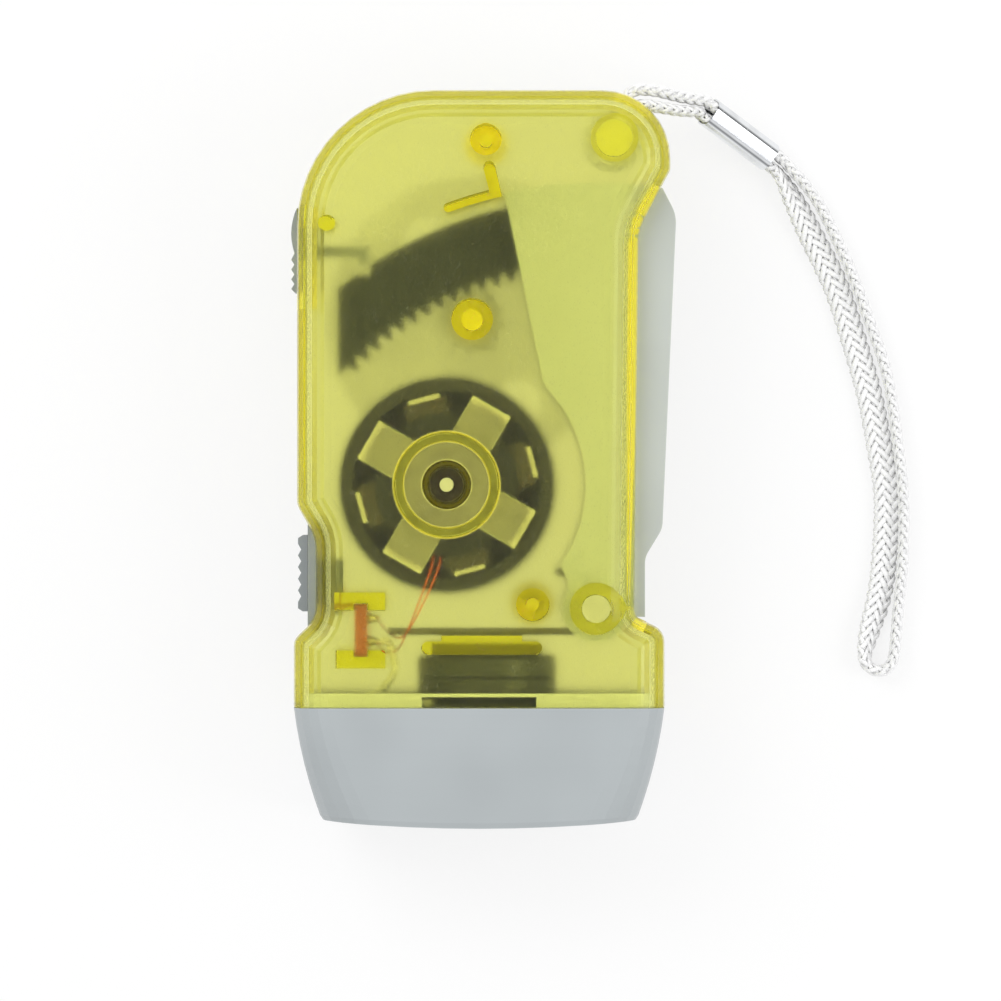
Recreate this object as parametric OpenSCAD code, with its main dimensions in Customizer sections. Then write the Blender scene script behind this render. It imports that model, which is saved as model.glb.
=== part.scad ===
// Squeeze-lever dynamo torch with a see-through two-part housing.
// It lies on its back: +X right, +Y towards the crown, +Z out of the front shell.
// The origin is on the back, under the middle of the body. Every size is in millimetres.

/* [Housing] */
// Length from the crown to the front rim of the head
body_l = 106; // [102:1:112]
// Thickness of the two shells together
body_t = 30; // [29:0.5:34]
// Distance from the origin to the left side of the housing
left_w = 26.75; // [26.4:0.05:28]
// Distance from the origin to the right side above the lever
right_w = 26.85; // [26.5:0.05:28]
// Wall of the two shells
wall = 1.8; // [1.4:0.1:2]
// Radius of the rounded front and back edges
edge_r = 5; // [3.5:0.5:6]
// Radius of the large left shoulder
crown_r = 19.6; // [14:0.2:22]
// Radius of the right shoulder
corner_r = 9.8; // [8:0.2:11]
// Gap between the two shells at the seam
seam = 0.1; // [0.05:0.05:0.2]

/* [Head] */
// Length of the head cup
head_l = 17.4; // [15:0.2:20]
// Width of the housing where the cup joins it
head_w = 53.2; // [52:0.2:55]
// Shift of the head's middle to the left of the origin
head_off = 0.6; // [0:0.05:1.2]
// Width of the cup's front rim
rim_w = 45.4; // [42:0.2:49]
// Height of the cup's front rim
rim_h = 24.6; // [23:0.2:28]
// How far the middle of the rim bulges forward
rim_bulge = 1.1; // [0:0.1:2]
// Wall of the cup
cup_wall = 1.7; // [1.3:0.1:2.2]
// Thickness of the clear lens
lens_t = 1.8; // [1.2:0.1:2.4]
// Radius of one lamp
led_r = 2.5; // [2:0.1:2.8]
// Spacing of the lamps
led_pitch = 13.6; // [12.5:0.1:14]

/* [Lever] */
// Distance of the lever pin from the right side of the housing
pivot_in = 10.72; // [10:0.1:11.2]
// Height of the lever pin above the head joint
pivot_up = 14.13; // [13.5:0.1:15]
// Radius of the lever pin
pin_r = 2; // [1.6:0.1:2.3]
// Distance from the crown down to the lever's top edge
lever_tip_in = 13.27; // [12.87:0.1:13.87]
// Height of the lever channel
lever_t = 15; // [13:0.5:16]
// Thickness of the lever's plates and web
lever_wall = 1.6; // [1.2:0.1:2]
// How far the closed lever stands out of the recess at its knee
grip_out = 5.48; // [4.58:0.1:6.38]

/* [Gears] */
// Module of the lever's toothed arc and its pinion
sector_m = 0.7;
// Depth from the lever's top edge to the pitch line of the toothed arc
sector_in = 11.85; // [11.15:0.35:12.55]
// Teeth of the drive pinion
pinion_teeth = 12;
// Module of the step-up gear pair
gear_m = 0.5;
// Teeth of the large gear
gear_teeth = 84;
// Teeth of the pinion on the rotor shaft
fly_teeth = 12;
// Play between tooth flanks
backlash = 0.12; // [0.08:0.02:0.2]
// Thickness of the toothed arc
sector_t = 3; // [2:0.1:3.2]
// Thickness of the large gear
gear_t = 3; // [2.4:0.1:3.1]
// Radius of the idler axle
axle_r = 1.5; // [1.2:0.1:1.8]
// Saw teeth of the one-way ratchet
ratchet_n = 12;
// Pawls of the one-way ratchet
pawl_n = 3;

/* [Generator] */
// Rotor centre, to the left of the lever pin
gen_dx = 21.4; // [21:0.1:21.8]
// Rotor centre, above the lever pin
gen_dy = 17.8; // [17.5:0.1:18.3]
// Outer radius of the rotor cup
rotor_r = 15.8; // [15:0.1:15.9]
// Radial thickness of the ring magnet
magnet_t = 1.5; // [1:0.1:1.8]
// Number of claws on each stator half
claw_n = 4;
// Width of a stator claw at its root
claw_w = 6.2; // [5:0.2:7]
// Radius of the rotor shaft
shaft_r = 1; // [0.8:0.1:1.2]

/* [Slides] */
// Travel of the lock slider
lock_travel = 1.6;
// Travel of the switch slider
switch_travel = 2;
// Length of the lock slider's thumb piece
lock_l = 12.2; // [10:0.2:13]
// Length of the switch slider's thumb piece
switch_l = 11; // [9:0.2:11.4]
// Pitch of the thumb ribs
rib_pitch = 1.4; // [1:0.1:1.8]

/* [Strap] */
// Radius of the strap's round equal
cord_r = 0.95; // [0.8:0.05:0.95]
// Length of the metal ferrule
ferrule_l = 11.9; // [9:0.1:12.4]
// Wall of the ferrule
ferrule_wall = 0.25; // [0.2:0.05:0.4]

/* [Hidden] */

// Clearances and small common sizes
cut = 1;            // overrun of cuts
fit = 0.05;         // radial clearance of running pins
slip = 0.02;        // radial clearance of pressed pieces
gap = 0.3;          // clearance between moving and fixed faces
tiny = 0.0001;      // guard against division by zero
round_fn = 48;      // sides of drawn circles
edge_min = 0.3;     // smallest corner radius left by an inset
edge_steps = 5;     // rings in the rounded edge

// Main lines of the housing
y_top = body_l/2;
y_rim = -body_l/2;
y_head = y_rim + head_l;
z_mid = body_t/2;
head_lo = -head_off - head_w/2;
head_hi = -head_off + head_w/2;
pivot = [right_w - pivot_in, y_head + pivot_up];
lever_r = y_top - lever_tip_in - pivot.y;      // reach of the lever from its pin
gen = pivot + [-gen_dx, gen_dy];

// Gear sizes and centres
sector_teeth = round(2*(lever_r - sector_in)/sector_m);    // teeth of the arc's full circle
sector_pr = sector_m*sector_teeth/2;
pinion_pr = sector_m*pinion_teeth/2;
gear_pr = gear_m*gear_teeth/2;
fly_pr = gear_m*fly_teeth/2;
add_share = 0.8;    // addendum in modules
ded_share = 1.15;   // dedendum in modules
press_a = 20;       // pressure angle
sector_or = lever_r - lever_wall - gap; // outer radius of the toothed arc
mesh_r = sector_pr - pinion_pr;         // lever pin to idler
step_r = gear_pr + fly_pr;              // rotor to idler
leg_d = norm(gen - pivot);
leg_a = (mesh_r*mesh_r - step_r*step_r + leg_d*leg_d)/(2*leg_d);
leg_h = sqrt(mesh_r*mesh_r - leg_a*leg_a);
leg_u = (gen - pivot)/leg_d;
idler = pivot + leg_a*leg_u + leg_h*[leg_u.y, -leg_u.x];
mesh_dir = atan2(idler.y - pivot.y, idler.x - pivot.x);
step_dir = atan2(idler.y - gen.y, idler.x - gen.x);

// Heights, from the back to the front
gear_z = 5;                              // underside of the large gear
lever_lift = 1.1;                        // lever channel in front of the middle
lever_z = (body_t - lever_t)/2 + lever_lift;
sector_z = lever_z + lever_wall;
lever_top = lever_z + lever_t;
hub_top = sector_z - gap;                // top of the ratchet ring
rotor_lift = 0.9;                        // rotor cup above the large gear
rotor_z = gear_z + gear_t + rotor_lift;
rotor_drop = 0.7;                        // rotor cup below the lever's front plate
rotor_top = lever_top - lever_wall - rotor_drop;
slot_gap = 0.5;                          // lever to the edges of its slot

// Outline of the housing: x, y, corner radius, arc steps, 1 where the edge is rounded
recess_top = 4.6;   // depth of the lever recess at its upper end
recess_low = 5.2;   // depth of the lever recess at its foot
recess_rise = 2;    // slope at the foot of the recess
recess_r = 1.5;     // its corner at the foot
step_over = 1.8;    // upper corner of the lever recess beyond the lever's tip
step_drop = 8.5;    // slope at the upper end of the recess
step_edge_r = 1.2;  // corner above that slope
slope_r = 8;        // corner below it
low_up = 11;        // right shoulder above the head joint
shoulder_r = 2.5;   // its corner
sw_in = 2.7;        // depth of the switch notch
sw_top = 29;        // upper corner of the switch notch above the head joint
sw_top_r = 3;
sw_drop = 4.7;      // slope at the upper end of the notch
sw_drop_r = 6;
sw_rise = 3;        // slope at the lower end of the notch
sw_rise_r = 4;
sw_low = 9.7;       // lower corner of the switch notch
sw_low_r = 2;
shell_pts = [
    [head_lo, y_head, 0, 0, 0],
    [head_hi, y_head, 0, 0, 1],
    [head_hi, y_head + low_up, shoulder_r, 4, 1],
    [right_w - recess_low, y_head + low_up + recess_rise, recess_r, 3, 1],
    [right_w - recess_top, pivot.y + lever_r + step_over - step_drop, slope_r, 4, 1],
    [right_w, pivot.y + lever_r + step_over, step_edge_r, 2, 1],
    [right_w, y_top, corner_r, 8, 1],
    [-left_w, y_top, crown_r, 12, 1],
    [-left_w, y_head + sw_top, sw_top_r, 3, 1],
    [-left_w + sw_in, y_head + sw_top - sw_drop, sw_drop_r, 4, 1],
    [-left_w + sw_in, y_head + sw_low + sw_rise, sw_rise_r, 4, 1],
    [head_lo, y_head + sw_low, sw_low_r, 3, 1]];

function rot90(v) = [-v.y, v.x];
function unit(v) = v/norm(v);
function polar(r, a) = [r*cos(a), r*sin(a)];
function flat(l) = [for (a = l) for (b = a) b];

// One ring of an outline with its rounded edges moved in by d and the open end by e
function inset_ring(V, d, e, z) =
    let (n = len(V),
        P = [for (v = V) [v.x, v.y]],
        D = [for (i = [0:n-1]) unit(P[(i+1)%n] - P[i])],
        N = [for (v = D) rot90(v)],
        E = [for (v = V) v[4] == 0 ? e : d],
        Q = [for (i = [0:n-1]) let (h = (i+n-1)%n, a = N[h], b = N[i],
            t = a.x*b.y - a.y*b.x)
            P[i] + [E[h]*b.y - E[i]*a.y, a.x*E[i] - b.x*E[h]]/t],
        L = [for (i = [0:n-1]) norm(Q[(i+1)%n] - Q[i])],
        S = [for (i = [0:n-1]) let (a = D[(i+n-1)%n], b = D[i]) sign(a.x*b.y - a.y*b.x)],
        A = [for (i = [0:n-1]) acos(min(1, max(-1, D[(i+n-1)%n]*D[i])))],
        R = [for (i = [0:n-1]) V[i][2] == 0 ? 0 :
            S[i] > 0 ? max(V[i][2] - d, edge_min) : V[i][2] + d],
        T = [for (i = [0:n-1]) R[i]*tan(A[i]/2)],
        F = [for (i = [0:n-1]) min(1, 0.97*L[i]/(T[i] + T[(i+1)%n] + tiny))])
    flat([for (i = [0:n-1]) V[i][3] == 0 ? [[Q[i].x, Q[i].y, z]] :
        let (h = (i+n-1)%n, t = T[i]*min(F[h], F[i]), r = t/tan(A[i]/2),
            s = Q[i] - D[h]*t, c = s + N[h]*r*S[i], a = atan2(s.y - c.y, s.x - c.x))
        [for (k = [0:V[i][3]]) let (p = c + polar(r, a + S[i]*A[i]*k/V[i][3]))
            [p.x, p.y, z]]]);

// Triangles that fill a flat outline with hollows in it, found by cutting off one corner at a time
function turn(a, b, c) = (b.x - a.x)*(c.y - a.y) - (b.y - a.y)*(c.x - a.x);
function holds(a, b, c, p) = turn(a, b, p) >= 0 && turn(b, c, p) >= 0 && turn(c, a, p) >= 0;
function is_ear(P, I, k) = let (n = len(I), a = P[I[(k+n-1)%n]], b = P[I[k]], c = P[I[(k+1)%n]])
    turn(a, b, c) > 0 && len([for (i = [2:n-2]) if (holds(a, b, c, P[I[(k+i)%n]])) 1]) == 0;
function first_ear(P, I, k) = k >= len(I) - 1 || is_ear(P, I, k) ? k : first_ear(P, I, k + 1);
function ears(P, I) = len(I) < 4 ? [I] : let (n = len(I), k = first_ear(P, I, 0))
    concat([[I[(k+n-1)%n], I[k], I[(k+1)%n]]], ears(P, [for (i = [0:n-1]) if (i != k) I[i]]));

// Solid through rings of equal count, stacked along their own axis. Hollow outlines need their
// end faces cut into triangles.
module loft(rings, hollow = false) {
    m = len(rings); n = len(rings[0]);
    I = [for (i = [0:n-1]) i];
    low = hollow ? ears(rings[0], I) : [I];
    high = hollow ? ears(rings[m-1], I) : [I];
    polyhedron(points = flat(rings), faces = concat(low,
        [for (t = high) [for (i = [len(t)-1:-1:0]) (m-1)*n + t[i]]],
        flat([for (j = [0:m-2]) flat([for (i = [0:n-1]) let (k = (i+1)%n)
            [[j*n+i, (j+1)*n+k, j*n+k], [j*n+i, (j+1)*n+i, (j+1)*n+k]]])])));
}

// Closed wall through rings that run up the outside and back down the inside
module ring_wall(rings) {
    m = len(rings); n = len(rings[0]);
    polyhedron(points = flat(rings), faces =
        flat([for (j = [0:m-1]) let (u = (j+1)%m) flat([for (i = [0:n-1]) let (k = (i+1)%n)
            [[j*n+i, u*n+k, j*n+k], [j*n+i, u*n+i, u*n+k]]])]));
}

// Round tube along a path
function path_dir(P, i) = unit(i == 0 ? P[1] - P[0] : i == len(P)-1 ? P[i] - P[i-1] :
    unit(P[i+1] - P[i]) + unit(P[i] - P[i-1]));
function side_of(d, up) = unit(cross(d, up));
module tube(P, r, sides, up) {
    loft([for (i = [0:len(P)-1]) let (d = path_dir(P, i), a = side_of(d, up), b = cross(a, d))
        [for (k = [0:sides-1]) P[i] - r*cos((k + 0.5)*360/sides)*a
            + r*sin((k + 0.5)*360/sides)*b]]);
}
// Points of a smooth curve through the given points
function smooth_at(a, b, c, d, t) = 0.5*(2*b + (c - a)*t + (2*a - 5*b + 4*c - d)*t*t
    + (3*b - a - 3*c + d)*t*t*t);
function smooth(P, n) = let (m = len(P)) concat([for (i = [0:m-2]) for (k = [0:n-1])
    smooth_at(P[max(i-1, 0)], P[i], P[i+1], P[min(i+2, m-1)], k/n)], [P[m-1]]);

module rod(p, r, z0, z1) translate([p.x, p.y, z0]) cylinder(r = r, h = z1 - z0, $fn = round_fn);
module block(x0, x1, y0, y1, z0, z1)
    translate([x0, y0, z0]) cube([x1 - x0, y1 - y0, z1 - z0]);
// Slot with round ends, its middle line from a to b along X
module bar(x0, x1, y, w, z0, z1) union() {
    block(x0 + w/2, x1 - w/2, y - w/2, y + w/2, z0, z1);
    rod([x0 + w/2, y], w/2, z0, z1);
    rod([x1 - w/2, y], w/2, z0, z1);
}

// Involute tooth flanks
function roll(a) = tan(a) - a*PI/180;
function flank(rb, p) = p <= rb ? 0 : roll(acos(rb/p));
function half_out(pr, m, p) = let (rb = pr*cos(press_a))
    ((PI*m/2 - backlash)/(2*pr) + roll(press_a) - flank(rb, p))*180/PI;
function half_in(pr, m, p) = let (rb = pr*cos(press_a))
    ((PI*m/2 - backlash)/(2*pr) - roll(press_a) + flank(rb, p))*180/PI;
// Outline of an outer gear with one tooth centred on angle a
function gear_pts(teeth, m, a) = let (pr = teeth*m/2, rf = pr - ded_share*m,
    ra = pr + add_share*m, R = [rf, (rf + pr)/2, pr, (pr + ra)/2, ra],
    H = [for (p = R) half_out(pr, m, p)])
    flat([for (k = [0:teeth-1]) let (c = a + k*360/teeth)
        concat([for (i = [0:4]) polar(R[i], c - H[i])],
            [for (i = [4:-1:0]) polar(R[i], c + H[i])])]);

// Shells
function outer_rings(z_seam, z_face) = [for (k = [0:edge_steps]) let (a = 90*k/edge_steps)
    inset_ring(shell_pts, edge_r*(1 - cos(a)), 0,
        z_face + sign(z_seam - z_face)*edge_r*(1 - sin(a)))];
function inner_rings(z_seam, z_face) = let (r = edge_r - wall)
    [for (k = [0:edge_steps]) let (a = 90*k/edge_steps)
    inset_ring(shell_pts, wall + r*(1 - cos(a)), -cut,
        z_face + sign(z_seam - z_face)*(wall + r*(1 - sin(a))))];
module shell_front() difference() {
    loft(concat([inset_ring(shell_pts, 0, 0, z_mid + seam/2)], outer_rings(z_mid, body_t)),
        hollow = true);
    loft(concat([inset_ring(shell_pts, wall, -cut, z_mid - cut)], inner_rings(z_mid, body_t)),
        hollow = true);
}
function backwards(l) = [for (i = [len(l)-1:-1:0]) l[i]];
module shell_rear() difference() {
    loft(concat(backwards(outer_rings(z_mid, 0)), [inset_ring(shell_pts, 0, 0, z_mid - seam/2)]),
        hollow = true);
    loft(concat(backwards(inner_rings(z_mid, 0)),
        [inset_ring(shell_pts, wall, -cut, z_mid + cut)]), hollow = true);
}
// Heights where a boss roots in a wall
root_front = body_t - wall/2;
root_rear = wall/2;

// Bosses and posts: radii and places measured from the piece that they serve
pivot_boss_r = 3.76;
idler_boss_r = 3;
tube_boss_r = 3.5;
tube_bore_r = 2.45;
seat_ring_r = 7.6;
seat_ring_t = 1.4;
crown_post_x = 0.35;
crown_post_in = 7.2;
crown_post = [crown_post_x, y_top - crown_post_in];
crown_post_r = 2.28;
strap_post_side = 8.1;
strap_post_in = 7;
strap_post = [right_w - strap_post_side, y_top - strap_post_in];
strap_post_r = 2.6;
socket_t = 0.8;
socket_l = 4.32;
pip_side = 4.4;
pip_up = 13.8;
pip = [-left_w + pip_side, idler.y + pip_up];
pip_r = 1.15;
screw_from_pin = [-9.05, 0.6];
screw_at = pivot + screw_from_pin;
screw_boss_r = 2.4;
screw_r = 0.95;
screw_head_r = 1.9;
screw_sink = 2.2;
screw_head_t = 1.35;
screw_recess = 0.5;
screw_edge = 0.4;
screw_l = 18.6;
screw_top = screw_sink - 2*fit + screw_l;
screw_foot_r = 3.1;
foot_top = 6.5;

// Openings in the side walls
strap_dir = 63;
strap_slot_w = 5.6;
strap_slot_h = 4.8;
lock_down = 16.7;
lock_y = y_top - lock_down;             // top of the lock slider's thumb piece
lock_slot_w = 5.4;
switch_up = 24.7;
switch_y = y_head + switch_up;          // top of the switch slider's thumb piece
stem_w = 4;

module strap_slot() translate([strap_post.x, strap_post.y, z_mid]) rotate([0, 0, strap_dir])
    translate([strap_post_r + wall/2, -strap_slot_w/2, -strap_slot_h/2])
    cube([corner_r, strap_slot_w, strap_slot_h]);
module lever_slot() intersection() {
    union() {
        block(pivot.x, right_w + 2*cut, pivot.y, pivot.y + lever_r + 2*cut,
            lever_z - slot_gap, lever_top + slot_gap);
        rod(pivot, grip_r + slot_gap, lever_z - slot_gap, lever_top + slot_gap);
    }
    rod(pivot, lever_r + slot_gap, lever_z - 2*slot_gap, lever_top + 2*slot_gap);
}
lock_stem_lo = 7.7;   // below the thumb piece's top
lock_stem_hi = 3.2;
module side_slots() union() {
    block(-left_w - cut, -left_w + wall + cut, lock_y - lock_stem_lo - lock_travel - gap,
        lock_y - lock_stem_hi + gap, z_mid - lock_slot_w/2, z_mid + lock_slot_w/2);
    block(-left_w - cut, -left_w + sw_in + 2*wall, switch_y - switch_l/2 - stem_w/2 - switch_travel
        - gap, switch_y - switch_l/2 + stem_w/2 + gap, z_mid - stem_w/2 - gap,
        z_mid + stem_w/2 + gap);
}
// Spring and the ribs that carry it and the switch board
wire_r = 0.5;
coil_r = 3.3;
spring_turns = 4;
spring_pitch = 1.55;
rest_y = pivot.y - coil_r - wire_r - fit;       // top of the rest rib
rest_side = 3.6;
rest_x = gen.x - rest_side;
rest_l = 17.3;
rest_w = 1.9;
rest_step = 0.8;       // rounded bar below the raised middle
rest_mid_share = 0.67;
board_in = 8.2;
board_x = -left_w + board_in;
board_t = 1.9;
board_up = 14.8;
board_top = y_head + board_up;
board_l = 7.5;
board_h = 12;
bracket_l = 7.1;
bracket_w = 2.6;
bracket_lap = 0.9;
module brackets(z0, z1) for (y = [board_top - bracket_lap, board_top - board_l
    + bracket_lap - bracket_w]) difference() {
        block(board_x - (bracket_l - board_t)/2, board_x + (bracket_l + board_t)/2,
            y, y + bracket_w, z0, z1);
        block(board_x - fit, board_x + board_t + fit, board_top - board_l - fit,
            board_top + fit, min(z0, z_mid - board_h/2) - cut, max(z1, z_mid + board_h/2) + cut);
    }
rail_w = 1.2;
rail_l = 14.7;
module lock_rail(z0, z1) block(-left_w + wall - fit, -left_w + wall + rail_w, lock_y - rail_l,
    lock_y, z0, z1);
catch_w = 15.8;
catch_l = 1.2;
catch_t = 1.4;
brace_gap = 1.3;
brace_r = sector_or + brace_gap;
brace_w = 1.35;
brace_a = 102.8;
brace_sweep = 7.4;
brace_arm = 4.6;
brace_arm_w = 1.61;
function arc_band(c, r0, r1, a0, a1, n) = concat(
    [for (k = [0:n]) c + polar(r0, a0 + (a1 - a0)*k/n)],
    [for (k = [n:-1:0]) c + polar(r1, a0 + (a1 - a0)*k/n)]);
module sector_brace(z0, z1) union() {
    translate([0, 0, z0]) linear_extrude(z1 - z0) polygon(arc_band(pivot, brace_r,
        brace_r + brace_w, brace_a, brace_a + brace_sweep, 6));
    rod(pivot + polar(brace_r + brace_w/2, brace_a + brace_sweep), brace_w/2, z0, z1);
    rod(pivot + polar(brace_r + brace_arm, brace_a + brace_arm_w/brace_r*90/PI), brace_arm_w/2,
        z0, z1);
    translate([0, 0, z0]) linear_extrude(z1 - z0) polygon(arc_band(pivot, brace_r + brace_w/2,
        brace_r + brace_arm, brace_a, brace_a + brace_arm_w/brace_r*180/PI, 2));
}

boss_gap = 0.7;
front_boss_z = sector_z + sector_t + boss_gap;      // lower end of the idler's front boss
tube_lift = 2.1;
tube_z = rotor_z + tube_lift;                       // lower end of the generator's tube
stator_rise = 2.7;                                  // upper claws in front of the cup's rim
stator_top = rotor_top + stator_rise;
module front_shell() color("khaki") difference() {
    union() {
        difference() {
            shell_front();
            lever_slot();
        }
        rod(pivot, pivot_boss_r, lever_top + fit*2, root_front);
        rod(idler, idler_boss_r, front_boss_z, root_front);
        rod(gen, tube_boss_r, tube_z, root_front);
        difference() {
            rod(gen, seat_ring_r, stator_top + fit, root_front);
            rod(gen, seat_ring_r - seat_ring_t, stator_top - cut, root_front);
        }
        rod(crown_post, crown_post_r, z_mid + seam/2, root_front);
        rod(strap_post, strap_post_r + socket_t, body_t - socket_l, root_front);
        rod(pip, pip_r, z_mid + seam/2, root_front);
        rod(screw_at, screw_boss_r, z_mid + seam/2, root_front);
        bar(rest_x, rest_x + rest_l, rest_y - rest_step - rest_w/2, rest_w, z_mid + seam/2,
            root_front);
        block(rest_x + rest_l*(1 - rest_mid_share)/2, rest_x + rest_l*(1 + rest_mid_share)/2,
            rest_y - rest_step - rest_w/2, rest_y, z_mid + seam/2, root_front);
        brackets(z_mid + board_h/4, root_front);
        lock_rail(z_mid + lock_slot_w/2 + gap*2, body_t - edge_r);
        sector_brace(sector_z + sector_t/2, root_front);
        block(-head_off - catch_w/2, -head_off + catch_w/2, y_head + fit, y_head + catch_l,
            body_t - wall - catch_t, root_front);
    }
    rod(pivot, pin_r + slip, lever_top - cut, body_t - wall);
    rod(idler, axle_r + slip, front_boss_z - cut, front_boss_z + 4*axle_r);
    rod(gen, tube_bore_r, tube_z - cut, body_t - wall);
    for (p = [crown_post, screw_at]) rod(p, screw_r - slip, z_mid - cut, screw_top + gap);
    rod(strap_post, strap_post_r + fit, z_mid - cut, body_t - wall);
    strap_slot();
    side_slots();
}

bush_drop = 0.8;
rear_bush_top = gear_z - bush_drop;
module rear_shell() color("khaki") difference() {
    union() {
        difference() {
            shell_rear();
            lever_slot();
        }
        rod(pivot, pivot_boss_r, root_rear, lever_z - fit*2);
        rod(idler, idler_boss_r, root_rear, gear_z - gap);
        rod(gen, tube_boss_r + wall/2, root_rear, rear_bush_top - gap/2);
        rod(crown_post, crown_post_r, root_rear, z_mid - seam/2);
        rod(crown_post, screw_foot_r, root_rear, foot_top);
        rod(strap_post, strap_post_r, root_rear, body_t - wall - fit);
        rod(screw_at, screw_boss_r, root_rear, z_mid - seam/2);
        rod(screw_at, screw_foot_r, root_rear, foot_top);
        brackets(root_rear, z_mid - board_h/4);
        lock_rail(edge_r, sector_z);
        block(-head_off - catch_w/2, -head_off + catch_w/2, y_head + fit, y_head + catch_l,
            root_rear, wall + catch_t);
    }
    rod(pivot, pin_r + slip, wall, lever_z + cut);
    rod(idler, axle_r + slip, wall, gear_z + cut);
    rod(gen, tube_bore_r, wall, gear_z + cut);
    for (p = [crown_post, screw_at]) {
        rod(p, screw_head_r + fit*2, -cut, screw_sink);
        rod(p, screw_r + fit, -cut, z_mid + cut);
    }
    strap_slot();
    side_slots();
}

// Head: rings are drawn looking along the light, then laid down
mid_n = 5;            // points along each long edge
function oblong(w, h, r, n, s, bulge) = [for (p = flat([for (q = [0:3]) let (
    c = [(q == 0 || q == 3 ? 1 : -1)*(w/2 - r), (q < 2 ? 1 : -1)*(h/2 - r)])
    concat([for (k = [0:n]) c + polar(r, q*90 + 90*k/n)], q == 1 || q == 3 ? [] :
        [for (k = [1:mid_n]) [c.x*(1 - 2*k/(mid_n + 1)), c.y + (q == 0 ? r : -r)]])]))
    [p.x, p.y, s + bulge*(1 - pow(p.x/(w/2), 2))]];
function taper(s) = 0.5*s + 0.5*s*s;
function cup_w(s) = head_w - (head_w - rim_w)*taper(s);
function cup_h(s) = body_t - (body_t - rim_h)*taper(s);
cup_steps = 6;
corner_n = 5;
rim_r = 0.7;
collar_l = 2.1;
collar_t = 1.2;
collar_gap = 0.15;
lens_seat = 1.2;      // lens front below the rim
lens_lap = 0.7;       // ledge behind the lens
module head_place() translate([-head_off, y_head - seam, z_mid]) rotate([90, 0, 0]) children();
cup_l = head_l - rim_bulge - seam;
function cup_ring(s, d, lift) = oblong(cup_w(s) - 2*d, cup_h(s) - 2*d,
    max(edge_r - d + 2*taper(s)*lens_seat, edge_min*2), corner_n, s*cup_l + lift, rim_bulge*s*s);
module catch_windows() for (z = [0, 1]) block(-head_off - catch_w/2 - gap,
    -head_off + catch_w/2 + gap, y_head, y_head + catch_l + gap, z_mid*z - cut,
    z_mid*(1 + z) + cut);
module head_cup() color("silver") difference() {
    cup_body();
    catch_windows();
}
module cup_body() head_place() {
    in_d = wall + collar_gap;
    seat_s = 1 - (lens_seat + lens_t)/cup_l;
    ring_wall(concat(
        [oblong(head_w - 2*in_d, body_t - 2*in_d, edge_r - in_d, corner_n, -collar_l, 0)],
        [oblong(head_w - 2*in_d, body_t - 2*in_d, edge_r - in_d, corner_n, 0, 0)],
        [for (k = [0:cup_steps-1]) cup_ring(k/cup_steps, 0, 0)],
        [cup_ring(1 - rim_r/cup_l, 0, 0)],
        [cup_ring(1, rim_r*0.3, 0)], [cup_ring(1, rim_r*1.2, 0)],
        [cup_ring(seat_s, cup_wall, 0)],
        [cup_ring(seat_s, cup_wall + lens_lap, 0)],
        [cup_ring(0.5, cup_wall + lens_lap/2, 0)],
        [cup_ring(0, in_d + collar_t, 0)],
        [oblong(head_w - 2*in_d - 2*collar_t, body_t - 2*in_d - 2*collar_t,
            edge_r - in_d - collar_t/2, corner_n, -collar_l, 0)]));
}
seat_s0 = 1 - (lens_seat + lens_t)/cup_l;
lens_w = cup_w(1) - 2*cup_wall - 4*fit;
lens_h = cup_h(1) - 2*cup_wall - 4*fit;
module lens() color("white") head_place()
    loft([for (s = [0, 0.8, 1]) oblong(lens_w - (s == 1 ? rim_r : 0), lens_h - (s == 1 ? rim_r : 0),
        edge_r/1.6, corner_n, seat_s0*cup_l + rim_bulge*seat_s0 + fit*2
        + s*lens_t, 0)]);

board_s = 1.4;         // front of the lamp board inside the cup
led_board_t = 1.2;
led_board_w = 36;
led_board_h = 16;
led_board_r = 1.5;
bowl_r = 6.4;
bowl_t = 0.7;
bowl_back_r = 3.1;
flange_t = 1.4;
flange_s = seat_s0*cup_l - gap;
bowl_l = flange_s - board_s - gap*3;
function bowl(r0, r1, l, n) = [for (k = [0:n]) [r0 + (r1 - r0)*sqrt(k/n), l*k/n]];
module bowl_solid(d, over) rotate_extrude($fn = round_fn) polygon(concat([[0, -over]],
    [[bowl_back_r + d, -over]], [for (p = bowl(bowl_back_r + d, bowl_r + d, bowl_l, 8)) p],
    [[bowl_r + d, bowl_l + over], [0, bowl_l + over]]));
module reflector() color("whitesmoke") head_place() difference() {
    union() {
        translate([0, 0, flange_s - flange_t]) linear_extrude(flange_t)
            polygon([for (p = oblong(lens_w - 4*lens_lap, lens_h - 4*lens_lap, edge_r/2, corner_n,
                0, 0)) [p.x, p.y]]);
        for (i = [-1, 0, 1]) translate([i*led_pitch, 0, flange_s - bowl_l])
            bowl_solid(bowl_t/2, 0);
    }
    for (i = [-1, 0, 1]) translate([i*led_pitch, 0, flange_s - bowl_l]) bowl_solid(-bowl_t/2, cut);
}
led_rim = 0.4;
led_body = 5.2;
led_pin_r = 0.25;
led_pin_l = 1;
led_pin_gap = 1.27;
module led(i) color("aliceblue") head_place() translate([i*led_pitch, 0, board_s]) {
    rotate_extrude($fn = round_fn) polygon(concat([[0, fit], [led_r + led_rim, fit],
        [led_r + led_rim, fit + led_rim*2], [led_r, fit + led_rim*2], [led_r, led_body]],
        [for (k = [1:6]) [led_r*cos(k*15), led_body + led_r*sin(k*15)]]));
    for (s = [-1, 1]) translate([s*led_pin_gap, 0, -led_board_t - led_pin_l/2])
        cylinder(r = led_pin_r, h = led_pin_l/2 + led_board_t + led_rim, $fn = round_fn);
}
module led_left() led(-1);
module led_centre() led(0);
module led_right() led(1);
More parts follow.
